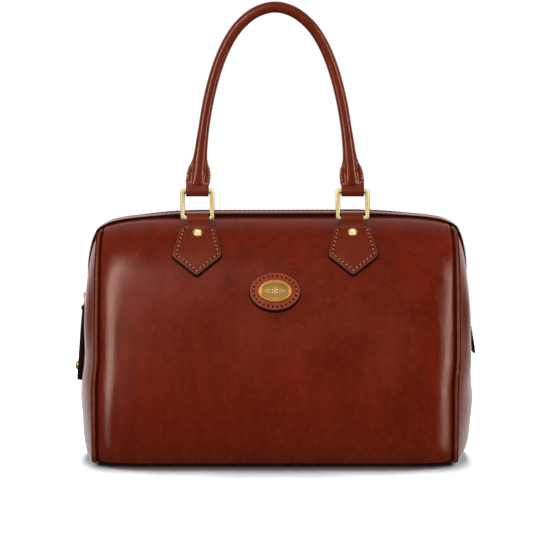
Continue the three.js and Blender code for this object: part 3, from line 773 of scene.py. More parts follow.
def make_gusset(name, side):
    t = np.linspace(row_at_height(GUSSET_FOOT), GUSSET_TOP_ROW, GUSSET_ROWS)[:, None]
    reach = body(t, "seam_depth") - GUSSET_SETBACK_Y
    slot = np.minimum(ZIP_SLOT_HALF / reach, ZIP_SLOT_SHARE)
    outer = slot + (1 - slot) * (1 - (1 - np.linspace(0, 1, FLANK_CELLS + 1)[1:]) ** FLANK_CROWDING)
    inner = slot * np.linspace(-1, 1, SLOT_CELLS + 1)
    u = np.clip(np.hstack([-outer[:, ::-1], inner, outer]), -1, 1)

    def surface(across, row):
        return gusset_point(side, side * across, row)

    points = surface(u, t)
    normals = surface_normal(surface, u, t)
    height, size = GUSSET_FOLDS
    folds = height * wave_noise(points[..., 1], points[..., 2], size, GUSSET_SEEDS[name])
    folds = folds * (1 - np.abs(u) ** 4) * smoothstep(t, *GUSSET_FOLD_ROWS)
    below_zip = smoothstep(points[..., 2], *ZIP_FOOT_HEIGHTS) * tuck(points[..., 1], 1, ZIP_FOOT_WIDTH)
    pressed = tuck((1 - np.abs(u)) * reach, *GUSSET_TUCK) + ZIP_FOOT_DIP * below_zip
    points = points + normals * (folds * (1 - below_zip) - pressed)[..., None]
    column = np.arange(u.shape[1] - 1)
    in_slot = (column >= FLANK_CELLS) & (column < FLANK_CELLS + SLOT_CELLS)
    kept = ~((body(t[:-1], "seam_height") >= ZIP_SLOT_HEIGHT) & in_slot)
    shape = wall(points, normals, LEATHER, "leather", kept=kept)
    mesh_object(name + "_end_leather", shape, "leather", [name + "_gusset"])


BASE_CELLS = 60
BASE_SETBACK = 1.2
BASE_END_SETBACK = 1.4
BASE_CURL = 9.0
BASE_LEATHER = 2.4


def make_base():
    mid_depth, mid_height, seam_depth, _, seam_x, end_x, _ = BODY_ROWS[0]
    shares = np.sin(np.linspace(-1, 1, BASE_CELLS + 1) * math.pi / 2)
    u, v = shares[None, :], shares[:, None]
    half_depth = mix(mid_depth, seam_depth, np.abs(u) ** END_ROUNDING) - BASE_SETBACK
    half_length = mix(seam_x, end_x - GUSSET_SETBACK_X, 1 - v**2) - BASE_END_SETBACK
    from_edge = np.minimum((1 - np.abs(u)) * half_length, (1 - np.abs(v)) * half_depth)
    rim = mid_height - GAP + CORNER_LIFT * np.abs(u) ** CORNER_ROUNDING * np.abs(v) ** 4
    rise = rim * np.maximum(0, 1 - from_edge / BASE_CURL) ** 2
    points = np.stack([u * half_length, -v * half_depth, rise], axis=-1)
    normals = unit(np.cross(np.gradient(points, axis=1), np.gradient(points, axis=0)))
    # painted shade: the base's dark dull colour stands in for the shade under the bag
    shape = wall(points, normals, BASE_LEATHER, "base_leather")
    mesh_object("base_leather", shape, "leather", ["base_panel"])


PIPING_RADIUS = 1.25
PIPING_OUT = 0.9  # how far the cord lies outside its seam
PIPING_ROWS = (0.92, 0.03)
PIPING_UNDER = 3.4  # how far inside the ends it runs along the floor
PIPING_HOOK = 2.2  # how far its top ends turn in over the panel
PIPING_HOOK_ROW = 0.86
# A thin dark tube beside the cord, in painted shade: it paints the shadow in the gap between the cord and the
# end
SHADOW_LINE_RADIUS = 0.45
SHADOW_LINE_OUT = 0.8  # how far it stands off the cord, as a share of its radius
FLANGE = (0.5, 6.0)  # from and to, into the seam from the cord's middle
FLANGE_HALF = 0.4
FLANGE_SHARES = np.array([0, 0.6, 0.9])  # it aims at its own place, drawn in by these shares
FLANGE_AIM = (120.0, 8)  # and moved this far to the side and up


def piping_line(side):
    """The piping's centre line: down the front end seam, along the base and up the back."""
    end_x = BODY_ROWS[0, BODY_COLUMNS.index("end_x")]
    rows = np.linspace(*PIPING_ROWS, 16)
    hook = PIPING_HOOK * smoothstep(rows, PIPING_HOOK_ROW, PIPING_ROWS[0])
    across = body(rows, "seam_x") + PIPING_OUT - hook
    front = slump(np.stack([side * across, -body(rows, "seam_depth"), body(rows, "seam_height")], axis=-1))
    u = np.array([-0.84, -0.45, 0, 0.45, 0.84])
    x = mix(SEAM_X, end_x - GUSSET_SETBACK_X, 1 - u * u) + PIPING_OUT - PIPING_UNDER
    y = gusset_point(side, u, 0.0)[..., 1]
    bottom = np.stack([side * x, y, np.full(len(u), PIPING_RADIUS + GAP)], axis=-1)
    return smooth_line(np.vstack([front, bottom, (front * TO_BACK)[::-1]]), 260)


def piping_flange(line, side):
    """The piping's flat edge, from the cord into the seam between the panel and the end, coloured in painted
    shade.
    """
    sideways, upward = FLANGE_AIM
    inward = unit(line * FLANGE_SHARES + side * sideways * RIGHT + upward * UP - line)
    across = FLANGE_HALF * unit(np.cross(np.gradient(line, axis=0), inward))
    near, far = (line + depth * inward for depth in FLANGE)
    return loft(np.stack([near + across, far + across, far - across, near - across], axis=1), "crease")


def make_piping(name, side):
    line = piping_line(side)
    lengths = arc_lengths(line)
    from_end = np.minimum(lengths, lengths[-1] - lengths)
    share = np.clip(from_end / PIPING_RADIUS, 0.02, 1)
    rounded = np.sqrt(share * (2 - share))
    # the cord's lighter colour partly paints the highlight along it
    shape = tube(line, PIPING_RADIUS * rounded, 14, "worn_piping")
    # painted shadow: a thin dark tube along the gap beside the cord
    shadow_line = line + side * (PIPING_RADIUS + SHADOW_LINE_OUT * SHADOW_LINE_RADIUS) * RIGHT
    shape.join(tube(shadow_line, SHADOW_LINE_RADIUS * rounded, 8, "crease"))
    shape.join(piping_flange(line, side))
    mesh_object(name + "_piping_leather", shape, "leather_trim", [name + "_piping"])


# Zip

ZIP_RISE_TOP = 0.2
ZIP_RISE_ENDS = 0.6
ZIP_END_HEIGHTS = (126.0, 188.6)  # where it starts up an end, and where it leaves it
ZIP_TOP_SHARES = (0.45, 0.7, 0.85, 0.92, 0.965)
ZIP_TAPE_HALF = 12.6
ZIP_TAPE_FOOT = 5.6  # half its width below the strips
ZIP_TAPE_NARROWS = (-6, -2)  # from and to, past the strips' ends
ZIP_TAPE_THICKNESS = 1.0
ZIP_TAPE_GROOVE = ((0.6, 0.0), (0.3, 0.3))  # half its width and its depth, where the two tapes meet
STRIP_INNER = 4.5
STRIP_OUTER = 17.0
STRIP_ROUNDING = 0.55
STRIP_THICKNESS = 2.6
STRIP_THIN = 0.8  # its thickness down the ends
STRIP_THINS = (72, 122)  # from and to, along X
STRIP_END_HEIGHT = 141.0
# How far a strip's outer edge lies below its inner one: along the top, at the corners and down the ends
STRIP_FALL_TOP = 1.15
STRIP_FALL_CORNERS = 0.25
STRIP_FALL_ENDS = 1.3
STRIP_CORNERS = (90, 128)  # from and to, along X
STRIP_TOP = (0.2, 0.6)  # from and to, by how far the zip faces up
STRIP_STITCH_INSET = 2.3
STRIP_STITCH_SUNK = 0.42  # how deep its stitches lie down the ends
CHAIN_END_HEIGHT = 139.5
TOOTH_PITCH = 1.3
TOOTH_LOW = 0.5  # the share of their height that the teeth keep down the ends
# A zip tooth's outline from above: how far across the zip, and half its length along the zip there
TOOTH_OUTLINE = ((-2.9, 0.42), (-1.0, 0.42), (-0.2, 0.34), (0.25, 0.5), (0.75, 0.5), (1.05, 0.28))
TOOTH_LEVELS = ((0.0, 0.86), (0.25, 1.0), (1.2, 1.0), (1.55, 0.78))  # height, and its outline's share there


def zip_line():
    """The zip's middle line from the foot of the left end, over the top, to the foot of the right end."""
    rows = np.linspace(*(row_at_height(height) for height in ZIP_END_HEIGHTS), 8)
    left, right = (gusset_point(side, 0.0, rows) + side * ZIP_RISE_ENDS * RIGHT for side in (-1, 1))
    s = np.array([*(-share for share in reversed(ZIP_TOP_SHARES)), 0, *ZIP_TOP_SHARES])
    top = panel_point(s, 1.0) * (RIGHT + UP) + UP * ZIP_RISE_TOP
    return smooth_line(np.vstack([left, top, right[::-1]]), 1600)


ZIP_LINE = zip_line()
ZIP_LENGTHS = arc_lengths(ZIP_LINE)


def zip_span(height):
    """The distances along the zip where it passes a height, on the left end and on the right one."""
    half = len(ZIP_LINE) // 2
    rising = np.argmax(ZIP_LINE[:half, 2] >= height)
    falling = half + np.argmax(ZIP_LINE[half:, 2] <= height)
    return ZIP_LENGTHS[rising], ZIP_LENGTHS[falling]


def zip_frame(distance):
    return line_frame(ZIP_LINE, distance, 0.5)


def strip_fall(distance, out):
    """How far the strips sink at a distance from the zip's middle: they lie on the panels over the top."""
    origin, _, normal = zip_frame(distance)
    corners = smoothstep(np.abs(origin[..., 0]), *STRIP_CORNERS)
    top_fall = mix(STRIP_FALL_TOP, STRIP_FALL_CORNERS, corners)
    fall = mix(STRIP_FALL_ENDS, top_fall, smoothstep(normal[..., 2], *STRIP_TOP))
    return fall * (np.abs(out) / STRIP_OUTER) ** 2


def strip_fullness(distance):
    """1 over the top, where the strips and teeth have their full height, and 0 down the ends."""
    origin, _, _ = zip_frame(distance)
    return 1 - smoothstep(np.abs(origin[..., 0]), *STRIP_THINS)


def strip_thickness(distance):
    return mix(STRIP_THIN, STRIP_THICKNESS, strip_fullness(distance))


def above_zip(distance, out, up):
    """Points beside the zip's middle line, and the normals there."""
    distance, out, up = spread(distance, out, up)
    origin, _, normal = zip_frame(distance)
    lift = up - strip_fall(distance, out)
    return origin + normal * lift[..., None] + BACKWARD * out[..., None], normal


def on_strip(points):
    distance, out = points.T
    sunk = STRIP_STITCH_SUNK * (1 - strip_fullness(distance))
    return above_zip(distance, out, GAP + strip_thickness(distance) - sunk)


def make_zip_strips():
    half = (STRIP_OUTER - STRIP_INNER) / 2
    section = strap_section(half, STRIP_THICKNESS, STRIP_ROUNDING)
    distances = np.linspace(*zip_span(STRIP_END_HEIGHT), 240)
    up = GAP + strip_thickness(distances)[:, None] * (1 + section[:, 1] / STRIP_THICKNESS)
    for face, side in (("front", -1), ("back", 1)):
        outs = side * (STRIP_INNER + half + section[:, 0])
        rings, _ = above_zip(distances[:, None], outs, up)
        shape = loft(rings, strap_finishes(section, "leather_trim"))
        for out in (STRIP_INNER + STRIP_STITCH_INSET, STRIP_OUTER - STRIP_STITCH_INSET):
            line = np.stack(spread(distances[2:-2], side * out), axis=-1)
            shape.join(stitch_seam("strip", line, on_strip, way=side))
        mesh_object(face + "_zip_binding", shape, "leather_trim", [face + "_zip_strip"])


def make_zip_tape():
    top = -GAP / 2
    right = [(ZIP_TAPE_HALF, top - ZIP_TAPE_THICKNESS), (ZIP_TAPE_HALF, top), (STRIP_INNER, top)]
    right += [(out, top - depth) for out, depth in ZIP_TAPE_GROOVE]
    left = [(-out, height) for out, height in reversed(right)]
    outs, heights = np.array(left[-1:] + right + left[:-1]).T
    distances = np.linspace(0, ZIP_LENGTHS[-1], 300)[:, None]
    start, end = zip_span(STRIP_END_HEIGHT)
    past_strips = np.maximum(start - distances, distances - end)
    half = mix(ZIP_TAPE_HALF, ZIP_TAPE_FOOT, smoothstep(past_strips, *ZIP_TAPE_NARROWS))
    rings, _ = above_zip(distances, np.clip(outs, -half, half), heights)
    mesh_object("zip_tape_cloth", loft(rings, "zip_cloth"), "zip_cloth", ["zip_tape"])


def make_zip_teeth():
    """Brass teeth that reach over the middle by turns from either side."""
    start, end = zip_span(CHAIN_END_HEIGHT)
    outline = np.array([*TOOTH_OUTLINE, *((out, -half) for out, half in reversed(TOOTH_OUTLINE))])
    middle = outline.mean(axis=0)
    shape = Shape()
    for tooth in range(int((end - start) / TOOTH_PITCH)):
        side = 1 if tooth % 2 else -1
        distance = start + (tooth + 0.5) * TOOTH_PITCH
        lowered = mix(TOOTH_LOW, 1, strip_fullness(distance))
        rings = []
        for up, share in TOOTH_LEVELS:
            out, ahead = mix(middle, outline, share).T
            rings.append(above_zip(distance + ahead, side * out, GAP + up * lowered)[0])
        shape.join(loft(rings, "brass"))
    mesh_object("zip_teeth", shape, "brass", ["zip_chain"], sharp=30)


# Cut leather plates

def rounded_outline(corners, inset, per_corner=7, per_side=9):
    """A closed outline through corners of (x, y, radius), moved in by inset, always of as many points."""
    places = np.array([corner[:2] for corner in corners], float)
    edges = unit(np.roll(places, -1, axis=0) - places)
    inward = np.stack([-edges[:, 1], edges[:, 0]], axis=-1)
    turns = [np.cross(edges[i - 1], edges[i]) for i in range(len(places))]
    moved = []
    for i, place in enumerate(places):
        lines = inward[[i - 1, i]]
        straight = abs(turns[i]) < 1e-6
        moved.append(place + inward[i] * inset if straight else np.linalg.solve(lines, lines @ place + inset))
    arcs = []
    bend = np.linspace(0, 1, per_corner)[:, None]
    for i, (_, _, radius) in enumerate(corners):
        here, before, after = moved[i], moved[i - 1], moved[(i + 1) % len(moved)]
        back, ahead = unit(before - here), unit(after - here)
        rounding = max(radius - inset, 0.25) if turns[i] > 0 else radius + inset
        half_angle = max(math.acos(np.clip(back @ ahead, -1, 1)) / 2, 1e-3)
        nearest = min(np.linalg.norm(before - here), np.linalg.norm(after - here))
        reach = min(rounding / math.tan(half_angle), 0.48 * nearest)
        start, end = here + back * reach, here + ahead * reach
        arcs.append((1 - bend) ** 2 * start + 2 * bend * (1 - bend) * here + bend**2 * end)
    points = []
    share = np.linspace(0, 1, per_side + 2)[1:-1, None]
    for arc, following in zip(arcs, arcs[1:] + arcs[:1]):
        points += [arc, mix(arc[-1], following[0], share)]
    return np.vstack(points)


def both_sides(corners):
    """The corners of an outline's right side, from its lower end, and then those of its left."""
    return [*corners, *((-x, y, radius) for x, y, radius in reversed(corners) if x)]


def oval_outline(width, height):
    """A function that gives an oval, moved in by an inset."""
    half = np.array([width, height]) / 2
    return lambda inset: (half - inset) * circle(120)


def plate(outline, levels, place, finishes, inner_shares=(0.8, 0.6, 0.4, 0.2)):
    """A flat piece whose levels give its rings from the underside's rim up.

    A level is an inset, a height and, for some, how far the ring is shifted back along the piece. finishes
    names the band above each level. place sends local (across, along, height) points into the frame.
    """
    rings = []
    for inset, height, *shift in levels:
        across, along_it = outline(inset).T
        rings.append(np.stack(spread(across, along_it - sum(shift), height), axis=-1))
    inmost = rings[-1]
    middle = inmost.mean(axis=0)
    rings += [mix(middle, inmost, share) for share in inner_shares]
    names = [*finishes, *finishes[-1:] * len(inner_shares)]
    sides = len(inmost)
    last = (len(rings) - 1) * sides
    faces = grid_faces(len(rings), sides, closed=True)
    faces += [(last + side, last + (side + 1) % sides, last + sides) for side in range(sides)]
    faces.append(tuple(range(sides - 1, -1, -1)))
    face_names = [name for name in names for _ in range(sides)] + ["flesh_side"]
    return Shape().add(place(np.vstack([*rings, middle])), faces, face_names)


def leather_levels(thickness, groove, leather="leather_trim"):
    """The rim of a stitched leather plate: a dark rounded edge with a thin painted highlight along its top,
    and a groove where the stitches lie.
    """
    levels = [
        (-0.5, 0.0, 1.1), (-0.85, 0.3, 1.2), (-0.75, thickness - 0.9, 0.9), (-0.3, thickness - 0.35, 0.3),
        (0.1, thickness - 0.2), (0.35, thickness - 0.06), (0.9, thickness), (groove - 0.9, thickness),
        (groove, thickness - 0.22), (groove + 0.9, thickness - 0.04), (groove + 2.2, thickness),
    ]
    return levels, ["cut_edge"] * 4 + ["worn_rim"] + [leather] * (len(levels) - 5)


STRAP_ROUNDING = 0.5
STITCH_LOW = 0.2  # how far stitches lie below the face of their leather


def bent_strap(path, halves, thickness, place):
    """A strap along a path of (along, lift) points on its outer face; place takes (across, along, lift)."""
    heading = unit(np.gradient(path, axis=0))
    normal = np.stack([-heading[:, 1], heading[:, 0]], axis=-1)
    rings = []
    for point, up, half in zip(path, normal, halves):
        across, height = strap_section(half, thickness, STRAP_ROUNDING).T
        rings.append(place(np.column_stack([across, point + height[:, None] * up])))
    section = strap_section(halves[0], thickness, STRAP_ROUNDING)
    return loft(rings, strap_finishes(section, "leather_trim"))


# Tabs and rivets

TAB_X = 63.0
TAB_TIP_RISE = 154.0
TAB_LEATHER = 2.2
TAB_STITCH_INSET = 2.7
TAB_STITCH_TOP = 43.2
TAB_MIDDLE = 24  # the distance from its tip
# Corners of a tab's plate, from its tip: half its width, the distance from its tip, and the rounding
TAB_CORNERS = ((0, 0, 2.4), (20.0, 16.6, 4.2), (14.3, 41.2, 2.8), (10.2, 44.6, 2.4), (10.0, 47.5, 0.3))
NECK_HALF = 10.1
NECK_NARROWS = (2.5, 8)  # from and to, by its lift
NECK_NARROW_LENGTH = 14
NECK_START = ((36.0, -0.26), (39.0, 0.04), (41.6, 0.64), (43.4, 2.24))  # along, and lift above the tab
NECK_END = (46.5, 0.35)
NECK_LOOPS = {"front": (4.9, 2.5), "back": (3.3, 1.1)}  # outer radius and leather of a neck's loop
LOOP_ALONG = 49.5
LOOP_LIFT = 5.3
LOOP_RADIUS = 4.6
LOOP_HALF = 9.2
RIVET_ALONG = 37.3
RIVET_RADIUS = 4.4
RIVET_SUNK = 0.1
RIVET_RIM = ((0.3, -0.3), (0.0, 0.1), (0.15, 0.55))  # how far inside its radius, and the height
RIVET_DOME = (0.25, 0.5, 1.9)  # how far inside its radius, its foot's height, and its rise


def neck_path(radius):
    """The tab's neck from its plate, over the ring's bar and back beneath, as (along, lift) points."""
    turns = np.radians(np.linspace(-62, 178, 20))
    arc = np.stack([LOOP_ALONG + radius * np.sin(turns), LOOP_LIFT - GAP + radius * np.cos(turns)], axis=-1)
    start = [(place, TAB_LEATHER + lift) for place, lift in NECK_START]
    return smooth_line(np.vstack([start, arc, NECK_END]), 64)


def standing(origin, normal):
    """A function that turns points from Z to a normal of the front panel, and sets them on a place there."""
    forward = unit(np.cross(normal, RIGHT))
    axes = np.stack([np.cross(forward, normal), forward, normal])
    return lambda points: origin + points @ axes


def rivet_dome():
    """A low domed head on a narrow rim that presses into the leather."""
    foot = (0, RIVET_RIM[0][1])
    rim = [(RIVET_RADIUS - inside, height) for inside, height in RIVET_RIM]
    inside, low, rise = RIVET_DOME
    turns = np.radians(np.linspace(8, 90, 12))
    dome = [((RIVET_RADIUS - inside) * math.cos(a), low + rise * math.sin(a)) for a in turns]
    return lathe([foot, *rim, *dome], 40, "satin_brass")


def make_tab(face, name, side):
    corners = both_sides(TAB_CORNERS)
    levels, finishes = leather_levels(TAB_LEATHER, TAB_STITCH_INSET)
    place = points_on(on_panel(side * TAB_X, TAB_TIP_RISE, 0))
    shape = plate(lambda inset: rounded_outline(corners, inset), levels, place, finishes)
    radius, thickness = NECK_LOOPS[face]
    path = neck_path(radius)
    halves = mix(NECK_HALF, LOOP_HALF, smoothstep(path[:, 1], *NECK_NARROWS))
    halves = np.where(arc_lengths(path) > NECK_NARROW_LENGTH, LOOP_HALF, halves)
    shape.join(bent_strap(path, halves, thickness, place))
    line = rounded_outline(corners, TAB_STITCH_INSET)
    around = np.arctan2(line[:, 0], TAB_MIDDLE - line[:, 1])
    line = line[np.argsort(np.mod(around + math.pi, 2 * math.pi))]
    line = line[line[:, 1] < TAB_STITCH_TOP]
    face_of_tab = on_panel(side * TAB_X, TAB_TIP_RISE, TAB_LEATHER - STITCH_LOW)
    shape.join(stitch_seam("tab", line, face_of_tab))
    spot = above_panel(side * TAB_X, TAB_TIP_RISE + RIVET_ALONG, GAP + TAB_LEATHER - RIVET_SUNK)
    rivet = rivet_dome().moved(standing(*spot))
    back = face == "back"
    mesh_object(f"{face}_{name}_tab_leather", shape, "leather_trim", [f"{face}_{name}_tab"], back=back)
    mesh_object(f"{face}_{name}_rivet_dome", rivet, "brass", [f"{face}_{name}_rivet"], back=back)


# Rings and handles

PIVOT = np.array([0.0, -30.5757, 198.0184])
RING_WIDTH = 23.9
RING_HEIGHT = 22.2
RING_WIRE = 2.0
RING_CORNERS = (1.0, 2.3)
RING_SQUARENESS = {"front": 3.4, "back": 2.3}  # 2 is a round wire
RING_ANGLES = {"front": 0.0, "back": 105.0}
GRIP_ANGLES = {"front": 0.0, "back": 57.0}
# Centre line of a handle above the bars that it hangs on: its height, and half its width there
HANDLE_ARCH = (
    (0, 63), (25, 60.8), (51, 57.6), (77, 53), (103, 45.6), (122, 37), (134.5, 28), (144.6, 15), (148.5, 0),
)
# Its section from the flared end to the round rod: distance from the bar, width, depth at the ridge,
# how flat it is, the wings' depth, and half the ridge's width
HANDLE_END = np.array([
    (4.9, 17.8, 8.2, 1.0, 5.6, 6.6),
    (5.5, 18.6, 8.8, 1.0, 5.8, 6.6),
    (8.0, 19.4, 9.4, 1.0, 5.6, 6.4),
    (13.0, 19.6, 9.8, 1.0, 5.0, 5.9),
    (17.0, 18.2, 10.0, 0.95, 4.6, 5.5),
    (21.0, 15.0, 10.0, 0.8, 4.6, 5.2),
    (26.0, 11.8, 10.0, 0.4, 6.0, 5.0),
    (33.0, 10.5, 9.9, 0.1, 8.0, 4.9),
    (52.0, 9.1, 9.1, 0.0, 9.0, 4.55),
])
HANDLE_SIDES = 64
WING_ROUNDING = 0.45
HANDLE_FLARE = 34  # the distance from the bar where its rings get sparser
HANDLE_SEAM = ((8.0, 19.0), (8.3, 15.0), (8.2, 8.0))  # across, and from the bar
HANDLE_FOOT_SEAM = ((8.4, 6.4), (5.4, 6.6))
LEGS = ((10.0, 2.3), (6.5, 2.4))  # the strap's legs inside a flared end: from the bar, and from its middle


def about_x(points, degrees):
    cosine, sine = math.cos(math.radians(degrees)), math.sin(math.radians(degrees))
    x, y, z = np.moveaxis(points, -1, 0)
    return np.stack([x, y * cosine - z * sine, y * sine + z * cosine], axis=-1)


def ring_place(face, side):
    """A function that sets points about a ring's lower bar, or about the middle for side 0."""
    return lambda points: about_x(points + side * TAB_X * RIGHT, RING_ANGLES[face]) + PIVOT


def wire_frame(width, height, wire, corners, sides, squareness):
    """A flat frame in the XZ plane with its lower bar's middle at the origin.

    corners are its inner and outer roundings.
    """
    around = circle(sides)
    outward_by, depth = (wire * np.sign(around) * np.abs(around) ** (2 / squareness)).T
    rounding = mix(*corners, (outward_by + wire) / (2 * wire))
    half_width, half_height = (size / 2 + outward_by - rounding for size in (width, height))
    rings = []
    for quarter, (across, upward) in enumerate(((1, -1), (1, 1), (-1, 1), (-1, -1))):
        for angle in np.radians(90 * (quarter - 1) + np.linspace(0, 90, 8)):
            x = across * half_width + rounding * math.cos(angle)
            z = upward * half_height + rounding * math.sin(angle) + height / 2
            rings.append(np.column_stack([x, depth, z]))
    return loft(rings, "brass", turned=True)


def make_rings(face):
    for name, side in ENDS.items():
        ring = wire_frame(RING_WIDTH, RING_HEIGHT, RING_WIRE, RING_CORNERS, 28, RING_SQUARENESS[face])
        ring = ring.moved(ring_place(face, side))
        mesh_object(
            f"{face}_{name}_ring_wire", ring, "brass", [f"{face}_{name}_ring"],
            body_name=face + "_rings", back=face == "back",
        )


def handle_section(from_end):
    """Across and depth of the handle's section at a distance from its bar."""
    distances, *columns = HANDLE_END.T
    width, depth, flat, wing, ridge = (np.interp(from_end, distances, column) for column in columns)
    cosine, sine = circle(HANDLE_SIDES).T
    across = width / 2 * cosine
    ridge_depth = depth / 2 * np.sqrt(np.maximum(0, 1 - (across / ridge) ** 2))
    flat_depth = np.sign(sine) * np.maximum(wing / 2 * np.abs(sine) ** WING_ROUNDING, ridge_depth)
    return across, mix(depth / 2 * sine, flat_depth, flat)


def handle_line():
    left = [(-half, 0, rise) for rise, half in HANDLE_ARCH]
    right = [(half, 0, rise) for rise, half in HANDLE_ARCH[-2::-1]]
    return smooth_line(left + right, 1200)


HANDLE_LINE = handle_line()
HANDLE_LENGTH = arc_lengths(HANDLE_LINE)[-1]


def handle_frame(distance):
    return line_frame(HANDLE_LINE, distance, 1)


def half_profile(from_end):
    across, depth = handle_section(from_end)
    kept = (across >= -1e-9) & (depth >= 0)
    order = np.argsort(across[kept])
    return across[kept][order], depth[kept][order]


def on_handle_wing(end, face_sign):
    """A function that sets (across, from the bar) points on a flared end's front or back face."""
    def surface(points):
        distance = points[:, 1] if end < 0 else HANDLE_LENGTH - points[:, 1]
        origin, _, sideways = handle_frame(distance)
        depth = np.array([np.interp(abs(across), *half_profile(row)) for across, row in points])
        normals = np.repeat([face_sign * BACKWARD], len(points), axis=0)
        return origin + sideways * points[:, :1] + normals * depth[:, None], normals
    return surface


def strap_loop(end):
    """The strap round a ring's upper bar, with legs that close above it."""
    turns = np.radians(np.linspace(-128, 128, 26))
    arc = np.stack([-LOOP_RADIUS * np.cos(turns), LOOP_RADIUS * np.sin(turns)], axis=-1)
    path = smooth_line(np.vstack([[(z, -y) for z, y in LEGS], arc, LEGS[::-1]]), 70)

    def place(points):
        across, upward, depth = points.T
        return np.column_stack([across + end * TAB_X, depth, upward])

    return bent_strap(path, np.full(len(path), LOOP_HALF), TAB_LEATHER, place)


def make_handle(face):
    start, end_of_flare = HANDLE_END[[0, -1], 0]
    flare = np.linspace(HANDLE_FLARE, end_of_flare, 12)[1:]
    ends = np.concatenate([np.linspace(start, HANDLE_FLARE, 46), flare])
    rod = np.linspace(end_of_flare, HANDLE_LENGTH - end_of_flare, 120)[1:-1]
    rings = []
    for distance in np.concatenate([ends, rod, HANDLE_LENGTH - ends[::-1]]):
        across, depth = handle_section(min(distance, HANDLE_LENGTH - distance))
        origin, _, sideways = handle_frame(distance)
        rings.append(origin + sideways * across[:, None] + BACKWARD * depth[:, None])
    shape = loft(rings, "handle_leather")
    for end in (-1, 1):
        for face_sign in (-1, 1):
            wing = on_handle_wing(end, face_sign)
            for side in (-1, 1):
                seam = smooth_line(np.array(HANDLE_SEAM) * (side, 1), 30)
                shape.join(stitch_seam("handle", seam, wing, way=side))
                shape.join(stitch_seam("handle_foot", np.array(HANDLE_FOOT_SEAM) * (side, 1), wing))
        shape.join(strap_loop(end))
    place = ring_place(face, 0)
    shape = shape.moved(lambda points: place(about_x(points, GRIP_ANGLES[face]) + UP * RING_HEIGHT))
    handle = mesh_object(
        face + "_handle_leather", shape, "leather_trim", [face + "_handle"],
        body_name=face + "_grip", back=face == "back",
    )
    LIT_ALONE["handles"].append(handle)


# Zip slider, pull and end tab

SLIDER_HEIGHT = 132.5
SLIDER_RISE = 2.6
SLIDER_BEVEL = 0.35
LINK_WIDTH = 10.0
LINK_HEIGHT = 10.0
LINK_WIRE = 0.95
LINK_CORNERS = (1.05, 2.95)
PULL_TILT = 9.0
PULL_LEATHER = 4.4
PULL_REACH = 60.0
# Corners of the pull's right side from its free end: half its width, the distance along it, and the rounding
PULL_CORNERS = (
    (5.2, 0, 2.4), (8.1, 2.8, 3.0), (8.4, 14, 14), (6.0, 45.5, 12), (3.9, 52.5, 7), (3.6, 58.1, 0.4),
)
PULL_EDGE = ((3.2, 0), (1.0, 0), (0.35, 0.15), (0.05, 0.5))  # its rounding: inset, and drop from its face
PULL_JOINT = ((0.0, -0.12), (0.18, 0.0), (0.0, 0.12))  # the groove between its two layers: inset and height
PULL_STITCH_INSET = 2.0
PULL_STITCH_OUT = 1.2  # its seams end this far from the middle
PULL_STITCH_ROWS = (3.2, 53)
# The eye at the pull's upper end, over its outside and back through its hole: across, and radius
PULL_EYE = ((-3.6, 2.7), (-3.3, 2.95), (3.3, 2.95), (3.6, 2.7), (3.6, 1.35), (-3.6, 1.35))
PULL_EYE_SIDES = 24
PULL_RIVET_ALONG = 12.0
PULL_RIVET_HEAD = (
    (0, -0.2), (3.9, -0.1), (4.0, 0.35), (3.6, 1.2), (2.9, 1.85), (1.9, 2.35), (0.9, 2.6), (0, 2.65),
)
PULL_RIVET_CAP = ((0, 0.2), (2.8, 0.1), (2.9, -0.2), (2.4, -0.7), (1.2, -1.0), (0, -1.05))
END_TAB_HEIGHT = 138.0
END_TAB_LEATHER = 2.2
END_TAB_STITCH_INSET = 2.6
# The end tab from its top: the distance down, out from the bag, and half its width
END_TAB_ROWS = np.array([(0, -0.2, 11), (11, -0.4, 11), (28, 4.6, 11), (49, 10, 10.6), (51.5, 10.7, 8)])


def zip_end_place(side, height):
    """A function that sets points with Y up along the zip and Z out of the bag on one end of the zip."""
    origin, heading, normal = zip_frame(zip_span(height)[side > 0])
    up = -side * heading
    axes = np.stack([np.cross(up, normal), up, normal])
    return lambda points: origin + points @ axes


def link_place(points):
    """Local points of the hanging link and pull, with the slider's bail along X at the origin."""
    hung = about_x(points, -PULL_TILT - 90) + UP * (SLIDER_RISE + LINK_WIRE + GAP)
    return zip_end_place(-1, SLIDER_HEIGHT)(hung)


def pull_place(points):
    """The pull's (across, along, height) points: along runs from its free end, height away from the bag."""
    across, along_it, height = points.T
    return link_place(np.column_stack([across, -height, along_it - PULL_REACH - LINK_HEIGHT]))


def on_pull(height):
    """A function that sets (across, along) points at a height on the pull."""
    normal = np.sign(height) * (pull_place(UP[None]) - pull_place(np.zeros((1, 3))))

    def surface(points):
        lifted = np.column_stack([points, np.full(len(points), height)])
        return pull_place(lifted), np.repeat(normal, len(points), axis=0)

    return surface


def pull_eye():
    cosine, sine = circle(PULL_EYE_SIDES).T
    rings = []
    for across, radius in PULL_EYE:
        rings.append(np.stack(spread(across, PULL_REACH - radius * sine, -radius * cosine), axis=-1))
    eye = loft(rings, "leather_trim", turned=True)
    eye.finishes = ["leather_trim"] * (3 * PULL_EYE_SIDES) + ["cut_edge"] * (3 * PULL_EYE_SIDES)
    return eye.moved(pull_place)


